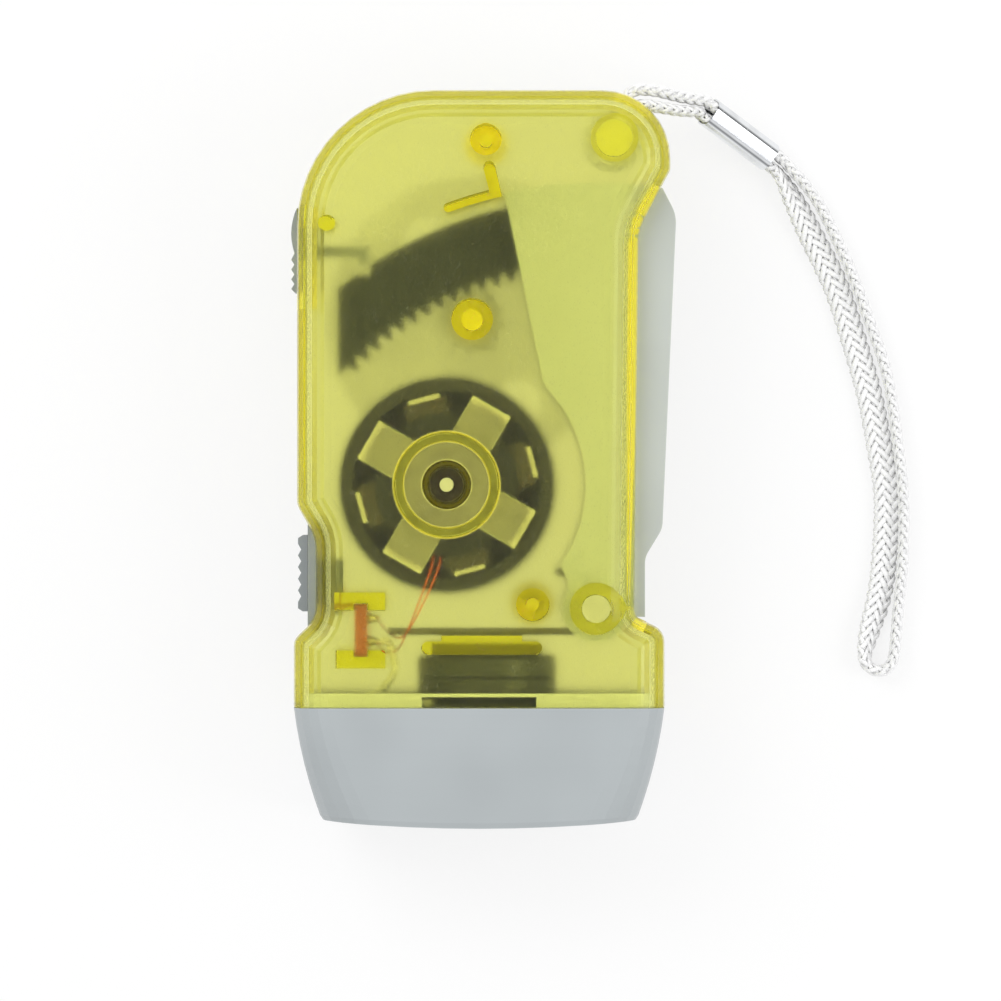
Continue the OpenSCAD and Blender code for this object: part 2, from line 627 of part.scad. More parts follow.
module led_board() color("seagreen") head_place() difference() {
    translate([0, 0, board_s - led_board_t]) linear_extrude(led_board_t)
        polygon([for (p = oblong(led_board_w, led_board_h, led_board_r, corner_n, 0, 0)) [p.x, p.y]]);
    for (i = [-1, 0, 1]) for (s = [-1, 1])
        translate([i*led_pitch + s*led_pin_gap, 0, board_s - led_board_t - cut])
        cylinder(r = led_pin_r + fit, h = led_board_t + 2*cut, $fn = round_fn);
}

// Two button cells behind the lamp board, held in a cradle
cell_r = 10;
cell_t = 3.2;
cell_side = 1.1;
cell_up = 0.7;
cell_drop = 1.3;       // cells toward the back of the case
cell_z = z_mid - cell_drop;
cell_x = -head_off + cell_side;
cell_y = y_head + cell_up;
sleeve_t = 0.25;
cradle_w = 16;
cradle_t = 1.4;
cradle_side = 1.6;
cradle_share = 0.45;   // cradle's edge below the cells' middle, in cell radii
module battery_cells() color("darkslategray") translate([cell_x, cell_y + 2*cell_t + sleeve_t,
    cell_z]) rotate([90, 0, 0]) rotate_extrude($fn = round_fn) polygon([[0, 0],
        [cell_r - 2*sleeve_t, 0], [cell_r, 2*sleeve_t], [cell_r, cell_t - sleeve_t],
        [cell_r - sleeve_t, cell_t], [cell_r, cell_t + sleeve_t],
        [cell_r, 2*cell_t - 2*sleeve_t], [cell_r - 2*sleeve_t, 2*cell_t], [0, 2*cell_t]]);
module battery_holder() color("dimgray") difference() {
    block(cell_x - cradle_w/2, cell_x + cradle_w/2, cell_y + sleeve_t - cradle_side/2,
        cell_y + 2*cell_t + sleeve_t + cradle_side, wall + fit*2, cell_z - cell_r*cradle_share);
    translate([cell_x, cell_y + 2*cell_t + sleeve_t + fit, cell_z]) rotate([90, 0, 0])
        cylinder(r = cell_r + fit*2, h = 2*cell_t + 2*fit, $fn = round_fn);
    block(cell_x - cradle_w/2 - cut, cell_x + cradle_w/2 + cut, y_head - cut,
        y_head + collar_l + gap, 0, wall + collar_t + collar_gap*2);
}

// Switch: plate, slider, board, contact, terminals and wires
plate_h = 18;
plate_out = 1.15;
plate_foot = 1.7;
plate_head = 2.8;
plate_lo = y_head + sw_low + plate_foot;
plate_hi = y_head + sw_top - plate_head;
plate_x = -left_w + sw_in - fit;
thumb_h = 12;
thumb_t = 1.35;
rib_d = 0.45;
function ribs(n, x0, y0, pitch, depth) = [for (k = [0:n*4]) [x0 + depth*(0.5 - 0.5*cos(90*k)),
    y0 + pitch*k/4]];
module switch_plate() color("silver") difference() {
    block(plate_x - plate_out, plate_x + cut, plate_lo, plate_hi, z_mid - plate_h/2,
        z_mid + plate_h/2);
    linear_extrude(body_t) polygon([for (p = inset_ring(shell_pts, -fit, 0, 0)) [p.x, p.y]]);
    block(plate_x - plate_out - cut, plate_x + cut, switch_y - switch_l/2 - stem_w/2
        - switch_travel - gap, switch_y - switch_l/2 + stem_w/2 + gap,
        z_mid - stem_w/2 - gap, z_mid + stem_w/2 + gap);
}
arm_in = 2.6;
arm_x = plate_x + arm_in;
arm_t = 1.1;
arm_l = 6;
module switch_slider() color("silver") union() {
    n = floor((switch_l - 4*rib_d)/(rib_pitch*1.2));
    x1 = plate_x - plate_out - fit*2;
    translate([0, 0, z_mid - thumb_h/2]) linear_extrude(thumb_h) polygon(concat(
        [[x1, switch_y - switch_l], [x1, switch_y], [x1 - thumb_t/2, switch_y],
        [x1 - thumb_t, switch_y - rib_d]],
        backwards(ribs(n, x1 - thumb_t, switch_y - switch_l + 3*rib_d, rib_pitch*1.2, rib_d)),
        [[x1 - thumb_t, switch_y - switch_l + rib_d], [x1 - thumb_t/2, switch_y - switch_l]]));
    block(x1 - thumb_t/4, arm_x + arm_t, switch_y - switch_l/2 - stem_w/2,
        switch_y - switch_l/2 + stem_w/2, z_mid - stem_w/2, z_mid + stem_w/2);
    block(arm_x, arm_x + arm_t, switch_y - switch_l/2 - arm_l, switch_y - switch_l/2,
        z_mid - stem_w/2, z_mid + stem_w/2);
}
contact_t = 0.3;
contact_l = 3;
module switch_contact() color("goldenrod") union() {
    x0 = arm_x + arm_t + slip;
    y0 = switch_y - switch_l/2 - arm_l;
    block(x0, x0 + contact_t, y0 + gap, y0 + contact_l*1.4, z_mid - stem_w/3, z_mid + stem_w/3);
    translate([0, 0, z_mid - stem_w/3]) linear_extrude(stem_w/1.5) polygon([
        [x0, y0 + gap], [board_x - gap, y0 + contact_l*0.4], [board_x - gap, y0 + contact_l*0.6],
        [x0 + contact_t, y0 + contact_l*0.5], [x0 + contact_t, y0 + contact_l]]);
}
module switch_board() color("sienna") block(board_x, board_x + board_t - fit,
    board_top - board_l, board_top, z_mid - board_h/2, z_mid + board_h/2);
terminal_r = 0.7;
terminal_l = 1.6;
terminal_in = 2.1;
module switch_terminals() color("silver") for (y = [board_top - terminal_in,
    board_top - board_l + terminal_in]) translate([board_x + board_t, y, z_mid + board_h/3])
    rotate([0, 90, 0]) rotate_extrude($fn = round_fn) polygon([[0, 0], [terminal_r, 0],
        [terminal_r, terminal_l/3], [terminal_r/2, terminal_l], [0, terminal_l]]);
term_x = board_x + board_t + terminal_l;
term_z = z_mid + board_h/3;
wire_big_r = 0.58;
wire_fine_r = 0.15;
wire_end_in = [7.2, 0.9, 3];
wire_end = [head_lo + wall + collar_gap + collar_t, y_head, z_mid] + wire_end_in;
term_low = [term_x, board_top - board_l + terminal_in, term_z];
term_high = [term_x, board_top - terminal_in, term_z];
// Wire routes, as steps away from the pieces that they pass
wire_route = [[1.65, -0.4, 0.6], [2.15, -2.4, 2.5], [2.15, -4.8, 3], [0.05, -7.2, 2]];
lead_route_a = [[-1.2, -0.7, 0.25], [-1.6, 0, -0.2], [-3.4, 0.8, 0], [-5.8, 0.8, -0.1],
    [-7.2, -0.8, -0.2]];
lead_route_b = [[0.6, -0.7, 0.25], [-0.4, 0, 0.1], [-2.6, 0, 0.6], [-4.6, -0.6, 0.7],
    [-9.2, 1.8, 0.3]];
lead_end_a = [0.5, 0.9, 0.9];
lead_end_b = [0.5, 0, 0.4];
lead_lift = 0.9;
lead_z = rotor_top + lead_lift;
lead_share = 0.8;
lead_by = [[gen.x, gen.y - seat_ring_r, stator_top],
    [gen.x, gen.y - rotor_r*lead_share, stator_top],
    [gen.x, gen.y - rotor_r, lead_z], [gen.x, rest_y, lead_z], [gen.x, rest_y, lead_z]];
module switch_wire() color("white") tube(smooth(concat([term_low + [gap, 0, 0]],
    [for (p = wire_route) term_low + p], [wire_end]), 4), wire_big_r, 8, [0, 0, 1]);
module copper_leads() color("chocolate") union() {
    tube(smooth(concat([for (i = [0:4]) lead_by[i] + lead_route_a[i]], [term_low + lead_end_a]), 4),
        wire_fine_r, 6, [0, 0, 1]);
    tube(smooth(concat([for (i = [0:4]) lead_by[i] + lead_route_b[i]], [term_high + lead_end_b]), 4),
        wire_fine_r, 6, [0, 0, 1]);
}

// Generator: claw-pole stator round a coil, inside a cup with a ring magnet
claw_t = 0.6;
cup_floor = 1.2;
cup_side = 0.8;
air_gap = 0.5;         // claws to magnet
claw_reach = rotor_r - cup_side - magnet_t - air_gap;
claw_turn = 60;
claw_tip_share = 0.72;
claw_root_share = 0.8; // start of a claw's arm, in plate radii
claw_open = 1.3;
stator_lift = 0.8;
stator_low = tube_z + stator_lift;
plate_r = 7.4;
module claws(turn) {
    difference() {
        union() {
            cylinder(r = plate_r, h = claw_t, $fn = round_fn);
            for (k = [0:claw_n-1]) rotate([0, 0, turn + k*360/claw_n])
                translate([plate_r*claw_root_share, 0, 0]) linear_extrude(claw_t) polygon([
                    [0, -claw_w/2], [claw_reach - plate_r*claw_root_share, -claw_w/2],
                    [claw_reach - plate_r*claw_root_share, claw_w/2], [0, claw_w/2]]);
            for (k = [0:claw_n-1]) rotate([0, 0, turn + k*360/claw_n])
                translate([claw_reach - claw_t, 0, 0]) rotate([90, 0, 90])
                linear_extrude(claw_t) polygon([[-claw_w/2, 0], [claw_w/2, 0],
                    [claw_w*claw_tip_share/2, stator_top - stator_low - claw_open],
                    [-claw_w*claw_tip_share/2, stator_top - stator_low - claw_open]]);
        }
        translate([0, 0, -cut]) cylinder(r = tube_boss_r + fit, h = claw_t + 2*cut,
            $fn = round_fn);
    }
}
module stator_top_claws() color("gainsboro") translate([gen.x, gen.y, stator_top])
    mirror([0, 0, 1]) claws(claw_turn);
module stator_bottom_claws() color("darkgray") translate([gen.x, gen.y, stator_low])
    claws(claw_turn + 180/claw_n);
bobbin_gap = 0.5;
bobbin_r = claw_reach - claw_t - bobbin_gap;
bobbin_t = 0.7;
barrel_t = 1.2;
coil_in = 0.6;
coil_r0 = tube_boss_r + barrel_t;
coil_r1 = bobbin_r - coil_in;
bob_lo = stator_low + claw_t + fit;
bob_hi = stator_top - claw_t - fit;
module coil_bobbin() color("black") translate([gen.x, gen.y, 0]) rotate_extrude($fn = round_fn)
    polygon([[tube_boss_r + fit, bob_lo], [bobbin_r, bob_lo], [bobbin_r, bob_lo + bobbin_t],
        [coil_r0 - fit, bob_lo + bobbin_t], [coil_r0 - fit, bob_hi - bobbin_t],
        [bobbin_r, bob_hi - bobbin_t], [bobbin_r, bob_hi], [tube_boss_r + fit, bob_hi]]);
module coil_winding() color("peru") translate([gen.x, gen.y, 0]) rotate_extrude($fn = round_fn)
    polygon([[coil_r0, bob_lo + bobbin_t + fit], [coil_r1 - fit*4, bob_lo + bobbin_t + fit],
        [coil_r1, bob_lo + bobbin_t*2], [coil_r1, bob_hi - bobbin_t*2],
        [coil_r1 - fit*4, bob_hi - bobbin_t - fit], [coil_r0, bob_hi - bobbin_t - fit]]);
cup_draft = 0.4;       // rim narrower than the cup's foot
hub_r = 2.6;
hub_h = 0.5;
module rotor_cup() color("black") translate([gen.x, gen.y, rotor_z]) difference() {
    rotate_extrude($fn = round_fn) polygon([[0, 0], [rotor_r, 0],
        [rotor_r - cup_draft, rotor_top - rotor_z],
        [rotor_r - cup_side, rotor_top - rotor_z], [rotor_r - cup_side, cup_floor],
        [hub_r + 0.3*hub_h, cup_floor], [hub_r, cup_floor + hub_h], [0, cup_floor + hub_h]]);
    translate([0, 0, -cut]) cylinder(r = shaft_r + slip, h = cup_floor + hub_h + 2*cut,
        $fn = round_fn);
}
module magnet_ring() color("dimgray") difference() {
    rod(gen, rotor_r - cup_side - slip, rotor_z + cup_floor + slip, rotor_top - fit*4);
    rod(gen, rotor_r - cup_side - magnet_t, rotor_z, rotor_top + cut);
}
shaft_foot_gap = 0.4;
shaft_top_gap = 1.4;
module rotor_shaft() color("silver") rod(gen, shaft_r, wall + shaft_foot_gap,
    body_t - wall - shaft_top_gap);
module flywheel_pinion() color("gold") difference() {
    translate([gen.x, gen.y, gear_z - gap]) linear_extrude(rotor_z - gear_z + gap - fit*2)
        polygon(gear_pts(fly_teeth, gear_m, step_dir + 180/fly_teeth));
    rod(gen, shaft_r + slip, 0, rotor_z);
}
bush_l = 3;
bush_deep = 3.4;       // top bush below the inner face of the wall
module bush(z0, z1) difference() {
    rod(gen, tube_bore_r - slip, z0, z1);
    rod(gen, shaft_r + fit, z0 - cut, z1 + cut);
}
module shaft_bushes() color("goldenrod") union() {
    bush(wall + slip, rear_bush_top);
    bush(tube_z + slip, tube_z + bush_l);
    bush(body_t - wall - bush_deep - bush_l, body_t - wall - bush_deep);
}

// Gears
module large_gear() color("white") difference() {
    union() {
        translate([idler.x, idler.y, gear_z]) linear_extrude(gear_t)
            polygon(gear_pts(gear_teeth, gear_m, step_dir));
        rod(idler, ring_r, gear_z + gear_t/2, hub_top);
    }
    rod(idler, axle_r + fit, gear_z - cut, hub_top + cut);
    translate([idler.x, idler.y, gear_z + web_t]) linear_extrude(hub_top)
        polygon(flat([for (k = [0:ratchet_n-1]) [polar(saw_r, k*360/ratchet_n),
            polar(saw_r + saw_d, k*360/ratchet_n), polar(saw_r + saw_d/2, (k + 0.5)*360/ratchet_n)]]));
    for (k = [0:5]) translate([idler.x, idler.y, 0]) rotate([0, 0, k*60])
        translate([(ring_r + gear_pr)/2 - gear_m, 0, gear_z - cut])
        cylinder(r = hole_r, h = gear_t + 2*cut, $fn = round_fn);
    translate([idler.x, idler.y, gear_z + gear_t - face_sink]) rotate_extrude($fn = round_fn)
        polygon([[ring_r + face_in, 0], [gear_pr - face_out, 0],
            [gear_pr - face_out, cut + face_sink], [ring_r + face_in, cut + face_sink]]);
}
ring_r = 7.2;
saw_r = 5.4;
saw_d = 0.8;
hole_r = 3.4;
face_sink = 0.7;
face_in = 1;
face_out = 2.4;
pawl_root = 3.4;
pawl_w = 0.9;
pawl_span = 70;
pawl_tip = saw_r - gap/2;
web_t = 1.2;                           // floor of the ratchet ring
pawl_hub_r = pawl_root + pawl_w/3;
hub_low = gear_z + web_t + gap/2;
hub_high = hub_top - gap/2;
pinion_top = sector_z + sector_t + gap;
module drive_pinion() color("ivory") difference() {
    union() {
        translate([idler.x, idler.y, hub_top - gap]) linear_extrude(pinion_top - hub_top + gap)
            polygon(gear_pts(pinion_teeth, sector_m, mesh_dir));
        rod(idler, pawl_hub_r, hub_low, hub_high);
        for (k = [0:pawl_n-1]) translate([idler.x, idler.y, hub_low + gap/2])
            rotate([0, 0, k*360/pawl_n]) linear_extrude(hub_high - hub_low - 1.5*gap)
            polygon(concat([for (i = [0:6]) polar(pawl_root + (pawl_tip - pawl_root)*i/6,
                pawl_span*i/6)], [for (i = [6:-1:0]) polar(pawl_root - pawl_w/2
                + (pawl_tip - pawl_w/2 - pawl_root)*i/6, pawl_span*i/6)]));
    }
    rod(idler, axle_r + fit, gear_z, pinion_top + cut);
}
module idler_axle() color("silver") rod(idler, axle_r, wall + slip, front_boss_z + 4*axle_r - gap);
module pivot_pin() color("silver") rod(pivot, pin_r, wall + slip, body_t - wall - slip);

// Lever: a channel with two plates, cut round the rotor
lever_hub_r = 2.7;
pad_r = 4.8;
grip_r = 7.1;
heel_side = 4;
heel_low = 0.8;
heel_high = 4;
grip_low = 1.2;
grip_foot = 7.4;       // where the grip starts to swell
grip_foot_r = 3;
grip_swell = 2.5;
grip_swell_up = 11.5;
grip_swell_r = 3.4;
grip_knee = 4.6;       // outer corner below the lever's tip
grip_knee_r = 5;
grip_lean = 3.4;       // slope above the knee
boss_room = 0.9;
rotor_lap = 1.8;       // left edge of the plates inside the rotor's side
lap_high = 14.2;
lap_low = 6;
lever_pts = [
    [pivot.x - heel_side, pivot.y - heel_low, 0, 0, 0],
    [pivot.x + grip_r, pivot.y - grip_low, 0, 0, 1],
    [pivot.x + grip_r, pivot.y + grip_foot, grip_foot_r, 4, 1],
    [pivot.x + grip_r + grip_swell, pivot.y + grip_swell_up, grip_swell_r, 4, 1],
    [right_w - recess_top + grip_out, pivot.y + lever_r - grip_knee, grip_knee_r, 5, 1],
    [right_w - recess_top + grip_out - grip_lean, pivot.y + lever_r + 2*cut, 0, 0, 0],
    [idler.x + idler_boss_r + boss_room, pivot.y + lever_r + 2*cut, 0, 0, 0],
    [gen.x + rotor_r - rotor_lap, gen.y + lap_high, 0, 0, 0],
    [gen.x + rotor_r - rotor_lap, gen.y - lap_low, 0, 0, 0],
    [pivot.x - heel_side, pivot.y + heel_high, 0, 0, 0]];
rotor_room = 20;
web_open = 4;
module lever_outline(d, e, z0, z1) intersection() {
    translate([0, 0, z0]) linear_extrude(z1 - z0)
        polygon([for (p = inset_ring(lever_pts, d, e, 0)) [p.x, p.y]]);
    rod(pivot, lever_r - d, z0 - cut, z1 + cut);
}
sector_pin_out = 0.6;
sector_pin_dirs = [97, 87];
sector_pins = [for (a = sector_pin_dirs) polar((sector_pr + sector_or)/2 + sector_pin_out, a)];
sector_pin_r = 1.4;
module lever() color("silver") difference() {
    union() {
        difference() {
            union() {
                lever_outline(0, 0, lever_z, lever_top);
                rod(pivot, pad_r, lever_z, lever_top);
            }
            lever_outline(lever_wall, -web_open, sector_z, lever_top - lever_wall);
            rod(pivot, pad_r + cut/2, sector_z, lever_top - lever_wall);
            rod(gen, rotor_room, lever_z - cut, lever_top + cut);
        }
        rod(pivot, lever_hub_r, lever_z, lever_top);
        for (p = sector_pins) rod(pivot + p, sector_pin_r, lever_z + lever_wall/2,
            sector_z + sector_t + gap);
    }
    rod(pivot, pin_r + fit, lever_z - cut, lever_top + cut);
}

// Toothed arc on the lever, its teeth facing the pin
arc_lo = 84;
arc_in = 3.9;          // left end of the arc to the housing's inner wall
arc_left = -left_w + wall + arc_in;
past_teeth = 8;        // teeth beyond the mesh while the lever is closed
tooth_step = 360/sector_teeth;
notch_in = 9.4;
notch_x = -left_w + notch_in;
notch_w = 1.9;
function arc_end(r) = acos((arc_left - pivot.x)/r);
module gear_sector() color("black") difference() {
    R = [sector_pr + ded_share*sector_m, sector_pr + ded_share*sector_m/2, sector_pr,
        sector_pr - add_share*sector_m/2, sector_pr - add_share*sector_m];
    H = [for (p = R) half_in(sector_pr, sector_m, p)];
    a_start = mesh_dir - past_teeth*tooth_step;
    n = floor((arc_end(R[0]) - a_start)/tooth_step);
    translate([pivot.x, pivot.y, sector_z + slip]) linear_extrude(sector_t) polygon(concat(
        [for (k = [0:14]) polar(sector_or, arc_end(sector_or)
            + (arc_lo - arc_end(sector_or))*k/14)],
        [polar(R[0], arc_lo)],
        flat([for (k = [0:n-1]) let (c = a_start + (k + 0.5)*tooth_step)
            concat([for (i = [0:4]) polar(R[i], c - H[i])],
                [for (i = [4:-1:0]) polar(R[i], c + H[i])])]),
        [polar(R[0], arc_end(R[0]))]));
    block(notch_x - notch_w/2, notch_x + notch_w/2, notch_y, notch_y + lever_r, sector_z - cut,
        sector_z + sector_t + cut);
    for (p = sector_pins) rod(pivot + p, sector_pin_r + fit, sector_z - cut,
        sector_z + sector_t + cut);
}
rim_y = pivot.y + sqrt(sector_or*sector_or - pow(notch_x + notch_w/2 - pivot.x, 2));
nose_d = 1.2;
notch_y = rim_y - nose_d - gap;

// Lock slider: thumb piece outside, tongue and nose inside
tongue_w = 1.4;
tongue_y = rim_y + lock_travel + gap - nose_d/2;
nose_y = rim_y + lock_travel - nose_d;
lock_t = 0.85;
lock_h = 10;
hump_share = 0.62;
inner_t = 1;
module lock_slider() color("silver") union() {
    n = floor(lock_l*(1 - hump_share)/rib_pitch);
    x1 = -left_w - fit*2;
    translate([0, 0, z_mid - lock_h/2]) linear_extrude(lock_h) polygon(concat(
        [[x1, lock_y - lock_l], [x1, lock_y]],
        [for (k = [1:7]) [x1 - lock_t*sin(k*180/8)*0.9 - lock_t/9,
            lock_y - lock_l*hump_share*k/8]],
        backwards(ribs(n, x1 - lock_t, lock_y - lock_l + rib_d, rib_pitch, rib_d)),
        [[x1 - lock_t/2, lock_y - lock_l]]));
    block(x1 - lock_t/4, -left_w + wall + gap + inner_t, lock_y - lock_stem_lo,
        lock_y - lock_stem_hi, z_mid - lock_slot_w/2 + gap/2, z_mid + lock_slot_w/2 - gap/2);
    block(-left_w + wall + gap, -left_w + wall + gap + inner_t, min(tongue_y, lock_y
        - lock_stem_lo), lock_y - lock_stem_hi + gap, sector_z + gap,
        z_mid + lock_slot_w/2 - gap/2);
    block(-left_w + wall + gap, notch_x + notch_w/2 - gap, tongue_y, tongue_y + tongue_w,
        sector_z + gap, sector_z + sector_t - gap);
    block(notch_x - notch_w/2 + gap, notch_x + notch_w/2 - gap, nose_y, tongue_y + tongue_w,
        sector_z + gap, sector_z + sector_t - gap);
}

// Torsion spring round the lever hub: the long leg lies on the rest rib under the lever's front
// plate, the coil winds down the hub and the short leg hooks on the edge of the rear plate
spring_drop = 0.5;     // long leg below the lever's front plate
spring_z = lever_top - lever_wall - wire_r - spring_drop;
leg_gap = 3;
leg_x = board_x + board_t + leg_gap;
hook_place = [-5.2, 5.2];
hook_bend = [0.5, -0.15, -0.1];
hook_knee = [0, 0, -0.6];
hook_lean = [-0.1, 0.1];
hook = pivot + hook_place;
hook_dir = atan2(hook.y - pivot.y, hook.x - pivot.x);
hook_off = acos(coil_r/norm(hook - pivot));
end_a = 360*spring_turns + 90 + hook_dir - hook_off;
coil_pts = [for (k = [0:spring_turns*14 + 6]) let (a = end_a*k/(spring_turns*14 + 6),
    p = pivot + polar(coil_r, a - 90)) [p.x, p.y, spring_z - spring_pitch*a/360]];
hook_z = spring_z - spring_pitch*end_a/360;
coil_gap = min([for (k = [0:len(coil_pts)-1-14]) norm(coil_pts[k+14] - coil_pts[k])]) - 2*wire_r;
echo("least gap between spring turns", coil_gap);
module torsion_spring() color("gray") tube(concat(
    [[leg_x, rest_y + wire_r + fit, spring_z], [gen.x, rest_y + wire_r + fit, spring_z]],
    coil_pts,
    [[hook.x, hook.y, hook_z] + hook_bend, [hook.x, hook.y, hook_z] + hook_knee,
    [hook.x + hook_lean.x, hook.y + hook_lean.y, lever_z + lever_wall/4]]), wire_r, 8,
    [0.31, 0.2, 1]);

module case_screws() color("silver") for (p = [crown_post, screw_at]) translate([p.x, p.y, 0])
    union() {
        translate([0, 0, screw_sink - screw_head_t - fit]) rotate_extrude($fn = round_fn)
            polygon([[0, screw_recess], [screw_head_r*0.4, screw_recess], [screw_head_r*0.5, 0],
            [screw_head_r*0.9, 0], [screw_head_r, screw_edge], [screw_head_r, screw_head_t],
            [0, screw_head_t]]);
        translate([0, 0, screw_sink - 2*fit])
            cylinder(r = screw_r - 2*slip, h = screw_l, $fn = round_fn);
    }

// Strap: a loop whose two runs leave a slot in the corner, pass a ferrule and lie on the surface
pair = cord_r + fit;            // half the spacing of the two runs
post_turn_r = strap_post_r + cord_r + fit;
strap_u = polar(1, strap_dir);
strap_v = rot90(strap_u);
slot_out = 2.6;
slot_in = strap_post_r + slot_out;
touch_a = acos(post_turn_r/norm([slot_in, pair])) + atan2(pair, slot_in);
function on_post(u, v, z) = let (p = strap_post + u*strap_u + v*strap_v) [p.x, p.y, z];
anchor_pts = concat([on_post(slot_in, pair, z_mid), on_post(slot_in - cord_r, pair, z_mid)],
    [for (k = [0:16]) let (a = touch_a + (360 - 2*touch_a)*k/16)
        on_post(post_turn_r*cos(a), post_turn_r*sin(a), z_mid)],
    [on_post(slot_in - cord_r, -pair, z_mid), on_post(slot_in, -pair, z_mid)]);
module strap_anchor() color("white") tube(anchor_pts, cord_r, 8, [0, 0, 1]);
// Route in round numbers: out of the slot, through the ferrule, round the loop and back
run_a = [[23.2, 51.3, 14.6], [25.2, 51, 13.6], [28.4, 50.6, 11.2]];
ferrule_a = [[31.7, 50, 8.8], [41.3, 43.1, 3.2]];
loop_pts = [[43.2, 41.4, 2.4], [45.4, 37.6, 1.6], [47.8, 32.8, 1.2], [51.4, 25.4, 1],
    [53.8, 18.2, 1], [56.2, 10, 1], [57.6, 3, 1], [58.8, -5, 1], [58.6, -13.2, 1],
    [57.8, -19.6, 1.2], [56.2, -25.4, 1.6], [55.6, -28.6, 1.9], [56.2, -30.2, 2],
    [57.7, -30.8, 2.05], [59.2, -30.2, 2.05], [60, -28, 2.05], [60.4, -23, 2.05],
    [61.2, -14.6, 2.05], [61.3, -6, 2.05], [60.6, 1.4, 2.05], [59, 12, 2.05],
    [56.2, 20.6, 2.05], [53.6, 27.6, 2.05], [50.4, 34.6, 2.05], [48, 38.8, 2.1],
    [44.6, 42.8, 2.5]];
ferrule_b = [[42.5, 44.7, 3.2], [32.9, 51.6, 8.8]];
run_b = [[28.6, 52.6, 11.2], [25.2, 53.3, 13.6], [22.6, 53.5, 14.4], [21.2, 53, 14.8]];
strap_start = [for (u = [slot_in + gap/2, slot_in + cord_r]) on_post(u, -pair, z_mid)];
strap_end = [for (u = [slot_in + cord_r, slot_in + gap/2]) on_post(u, pair, z_mid)];
through_shares = [-0.07, 0, 0.35, 0.65, 1, 1.07];
function through(p) = [for (s = through_shares) p[0] + (p[1] - p[0])*s];
strap_pts = concat(strap_start, run_a, through(ferrule_a), loop_pts, through(ferrule_b),
    run_b, strap_end);
module strap() color("white") tube(smooth(strap_pts, 2), cord_r, 8, [0, 0, 1]);
ferrule_in = (ferrule_a[0] + ferrule_b[1])/2;
ferrule_out = (ferrule_a[1] + ferrule_b[0])/2;
ferrule_dir = unit(ferrule_out - ferrule_in);
ferrule_w = 4.4;
ferrule_h = 4.2;
module strap_ferrule() color("silver") translate((ferrule_in + ferrule_out)/2)
    rotate([0, 0, atan2(ferrule_dir.y, ferrule_dir.x)]) rotate([0, -asin(ferrule_dir.z), 0])
    rotate([90, 0, 90]) translate([0, 0, -ferrule_l/2]) difference() {
        linear_extrude(ferrule_l) polygon([for (p = oblong(ferrule_w, ferrule_h, ferrule_h/2.6,
            corner_n, 0, 0)) [p.x, p.y]]);
        translate([0, 0, -cut]) linear_extrude(ferrule_l + 2*cut) polygon([for (p = oblong(
            ferrule_w - 2*ferrule_wall, ferrule_h - 2*ferrule_wall, ferrule_h/2.6 - ferrule_wall,
            corner_n, 0, 0)) [p.x, p.y]]);
    }

front_shell();
rear_shell();
head_cup();
lens();
reflector();
led_left();
led_centre();
led_right();
led_board();
battery_holder();
battery_cells();
switch_plate();
switch_board();
switch_terminals();
switch_wire();
copper_leads();
stator_top_claws();
stator_bottom_claws();
coil_bobbin();
coil_winding();
shaft_bushes();
idler_axle();
pivot_pin();
case_screws();
torsion_spring();
strap_anchor();
strap();
strap_ferrule();
lever();
gear_sector();
drive_pinion();
large_gear();
rotor_cup();
magnet_ring();
rotor_shaft();
flywheel_pinion();
lock_slider();
switch_slider();
switch_contact();
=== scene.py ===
# %% [markdown]
# # A squeeze-lever torch, dressed in Blender
# The torch lies on its back. Two see-through yellow half shells hold a toothed arc, a step-up
# gear and a small generator, and a grey cup at the lower end holds the lamps. The shapes come
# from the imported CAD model, so this lesson makes finishes, the woven wrist strap and the small
# parts that are too fine for CAD.

# %% The frame
import math
import bmesh
import bpy
import numpy as np
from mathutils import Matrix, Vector
from mathutils.bvhtree import BVHTree


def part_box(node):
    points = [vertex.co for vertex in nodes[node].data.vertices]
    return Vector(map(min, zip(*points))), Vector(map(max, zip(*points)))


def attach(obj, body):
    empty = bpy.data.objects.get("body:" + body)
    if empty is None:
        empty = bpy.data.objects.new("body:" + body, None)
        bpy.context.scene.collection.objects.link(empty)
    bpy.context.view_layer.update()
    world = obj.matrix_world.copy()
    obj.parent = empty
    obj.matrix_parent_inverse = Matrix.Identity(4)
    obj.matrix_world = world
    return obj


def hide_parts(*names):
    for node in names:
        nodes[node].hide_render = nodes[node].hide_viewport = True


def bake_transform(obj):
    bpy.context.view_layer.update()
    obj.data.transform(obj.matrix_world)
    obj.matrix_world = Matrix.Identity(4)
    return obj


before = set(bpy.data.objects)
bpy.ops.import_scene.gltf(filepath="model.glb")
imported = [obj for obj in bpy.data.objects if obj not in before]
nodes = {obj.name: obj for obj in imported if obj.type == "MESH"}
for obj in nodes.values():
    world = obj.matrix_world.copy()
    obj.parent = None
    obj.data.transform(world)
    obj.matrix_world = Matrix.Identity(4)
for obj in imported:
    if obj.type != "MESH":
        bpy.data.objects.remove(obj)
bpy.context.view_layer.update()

MM = 0.001

# %% [markdown]
# ## The camera
# The photograph looks straight down on the lying torch, from far away with a long lens, so the
# sides hardly show. A long lens far off gives that flat look and still keeps a little
# perspective. The picture's width at the height of the seam sets the focal length.

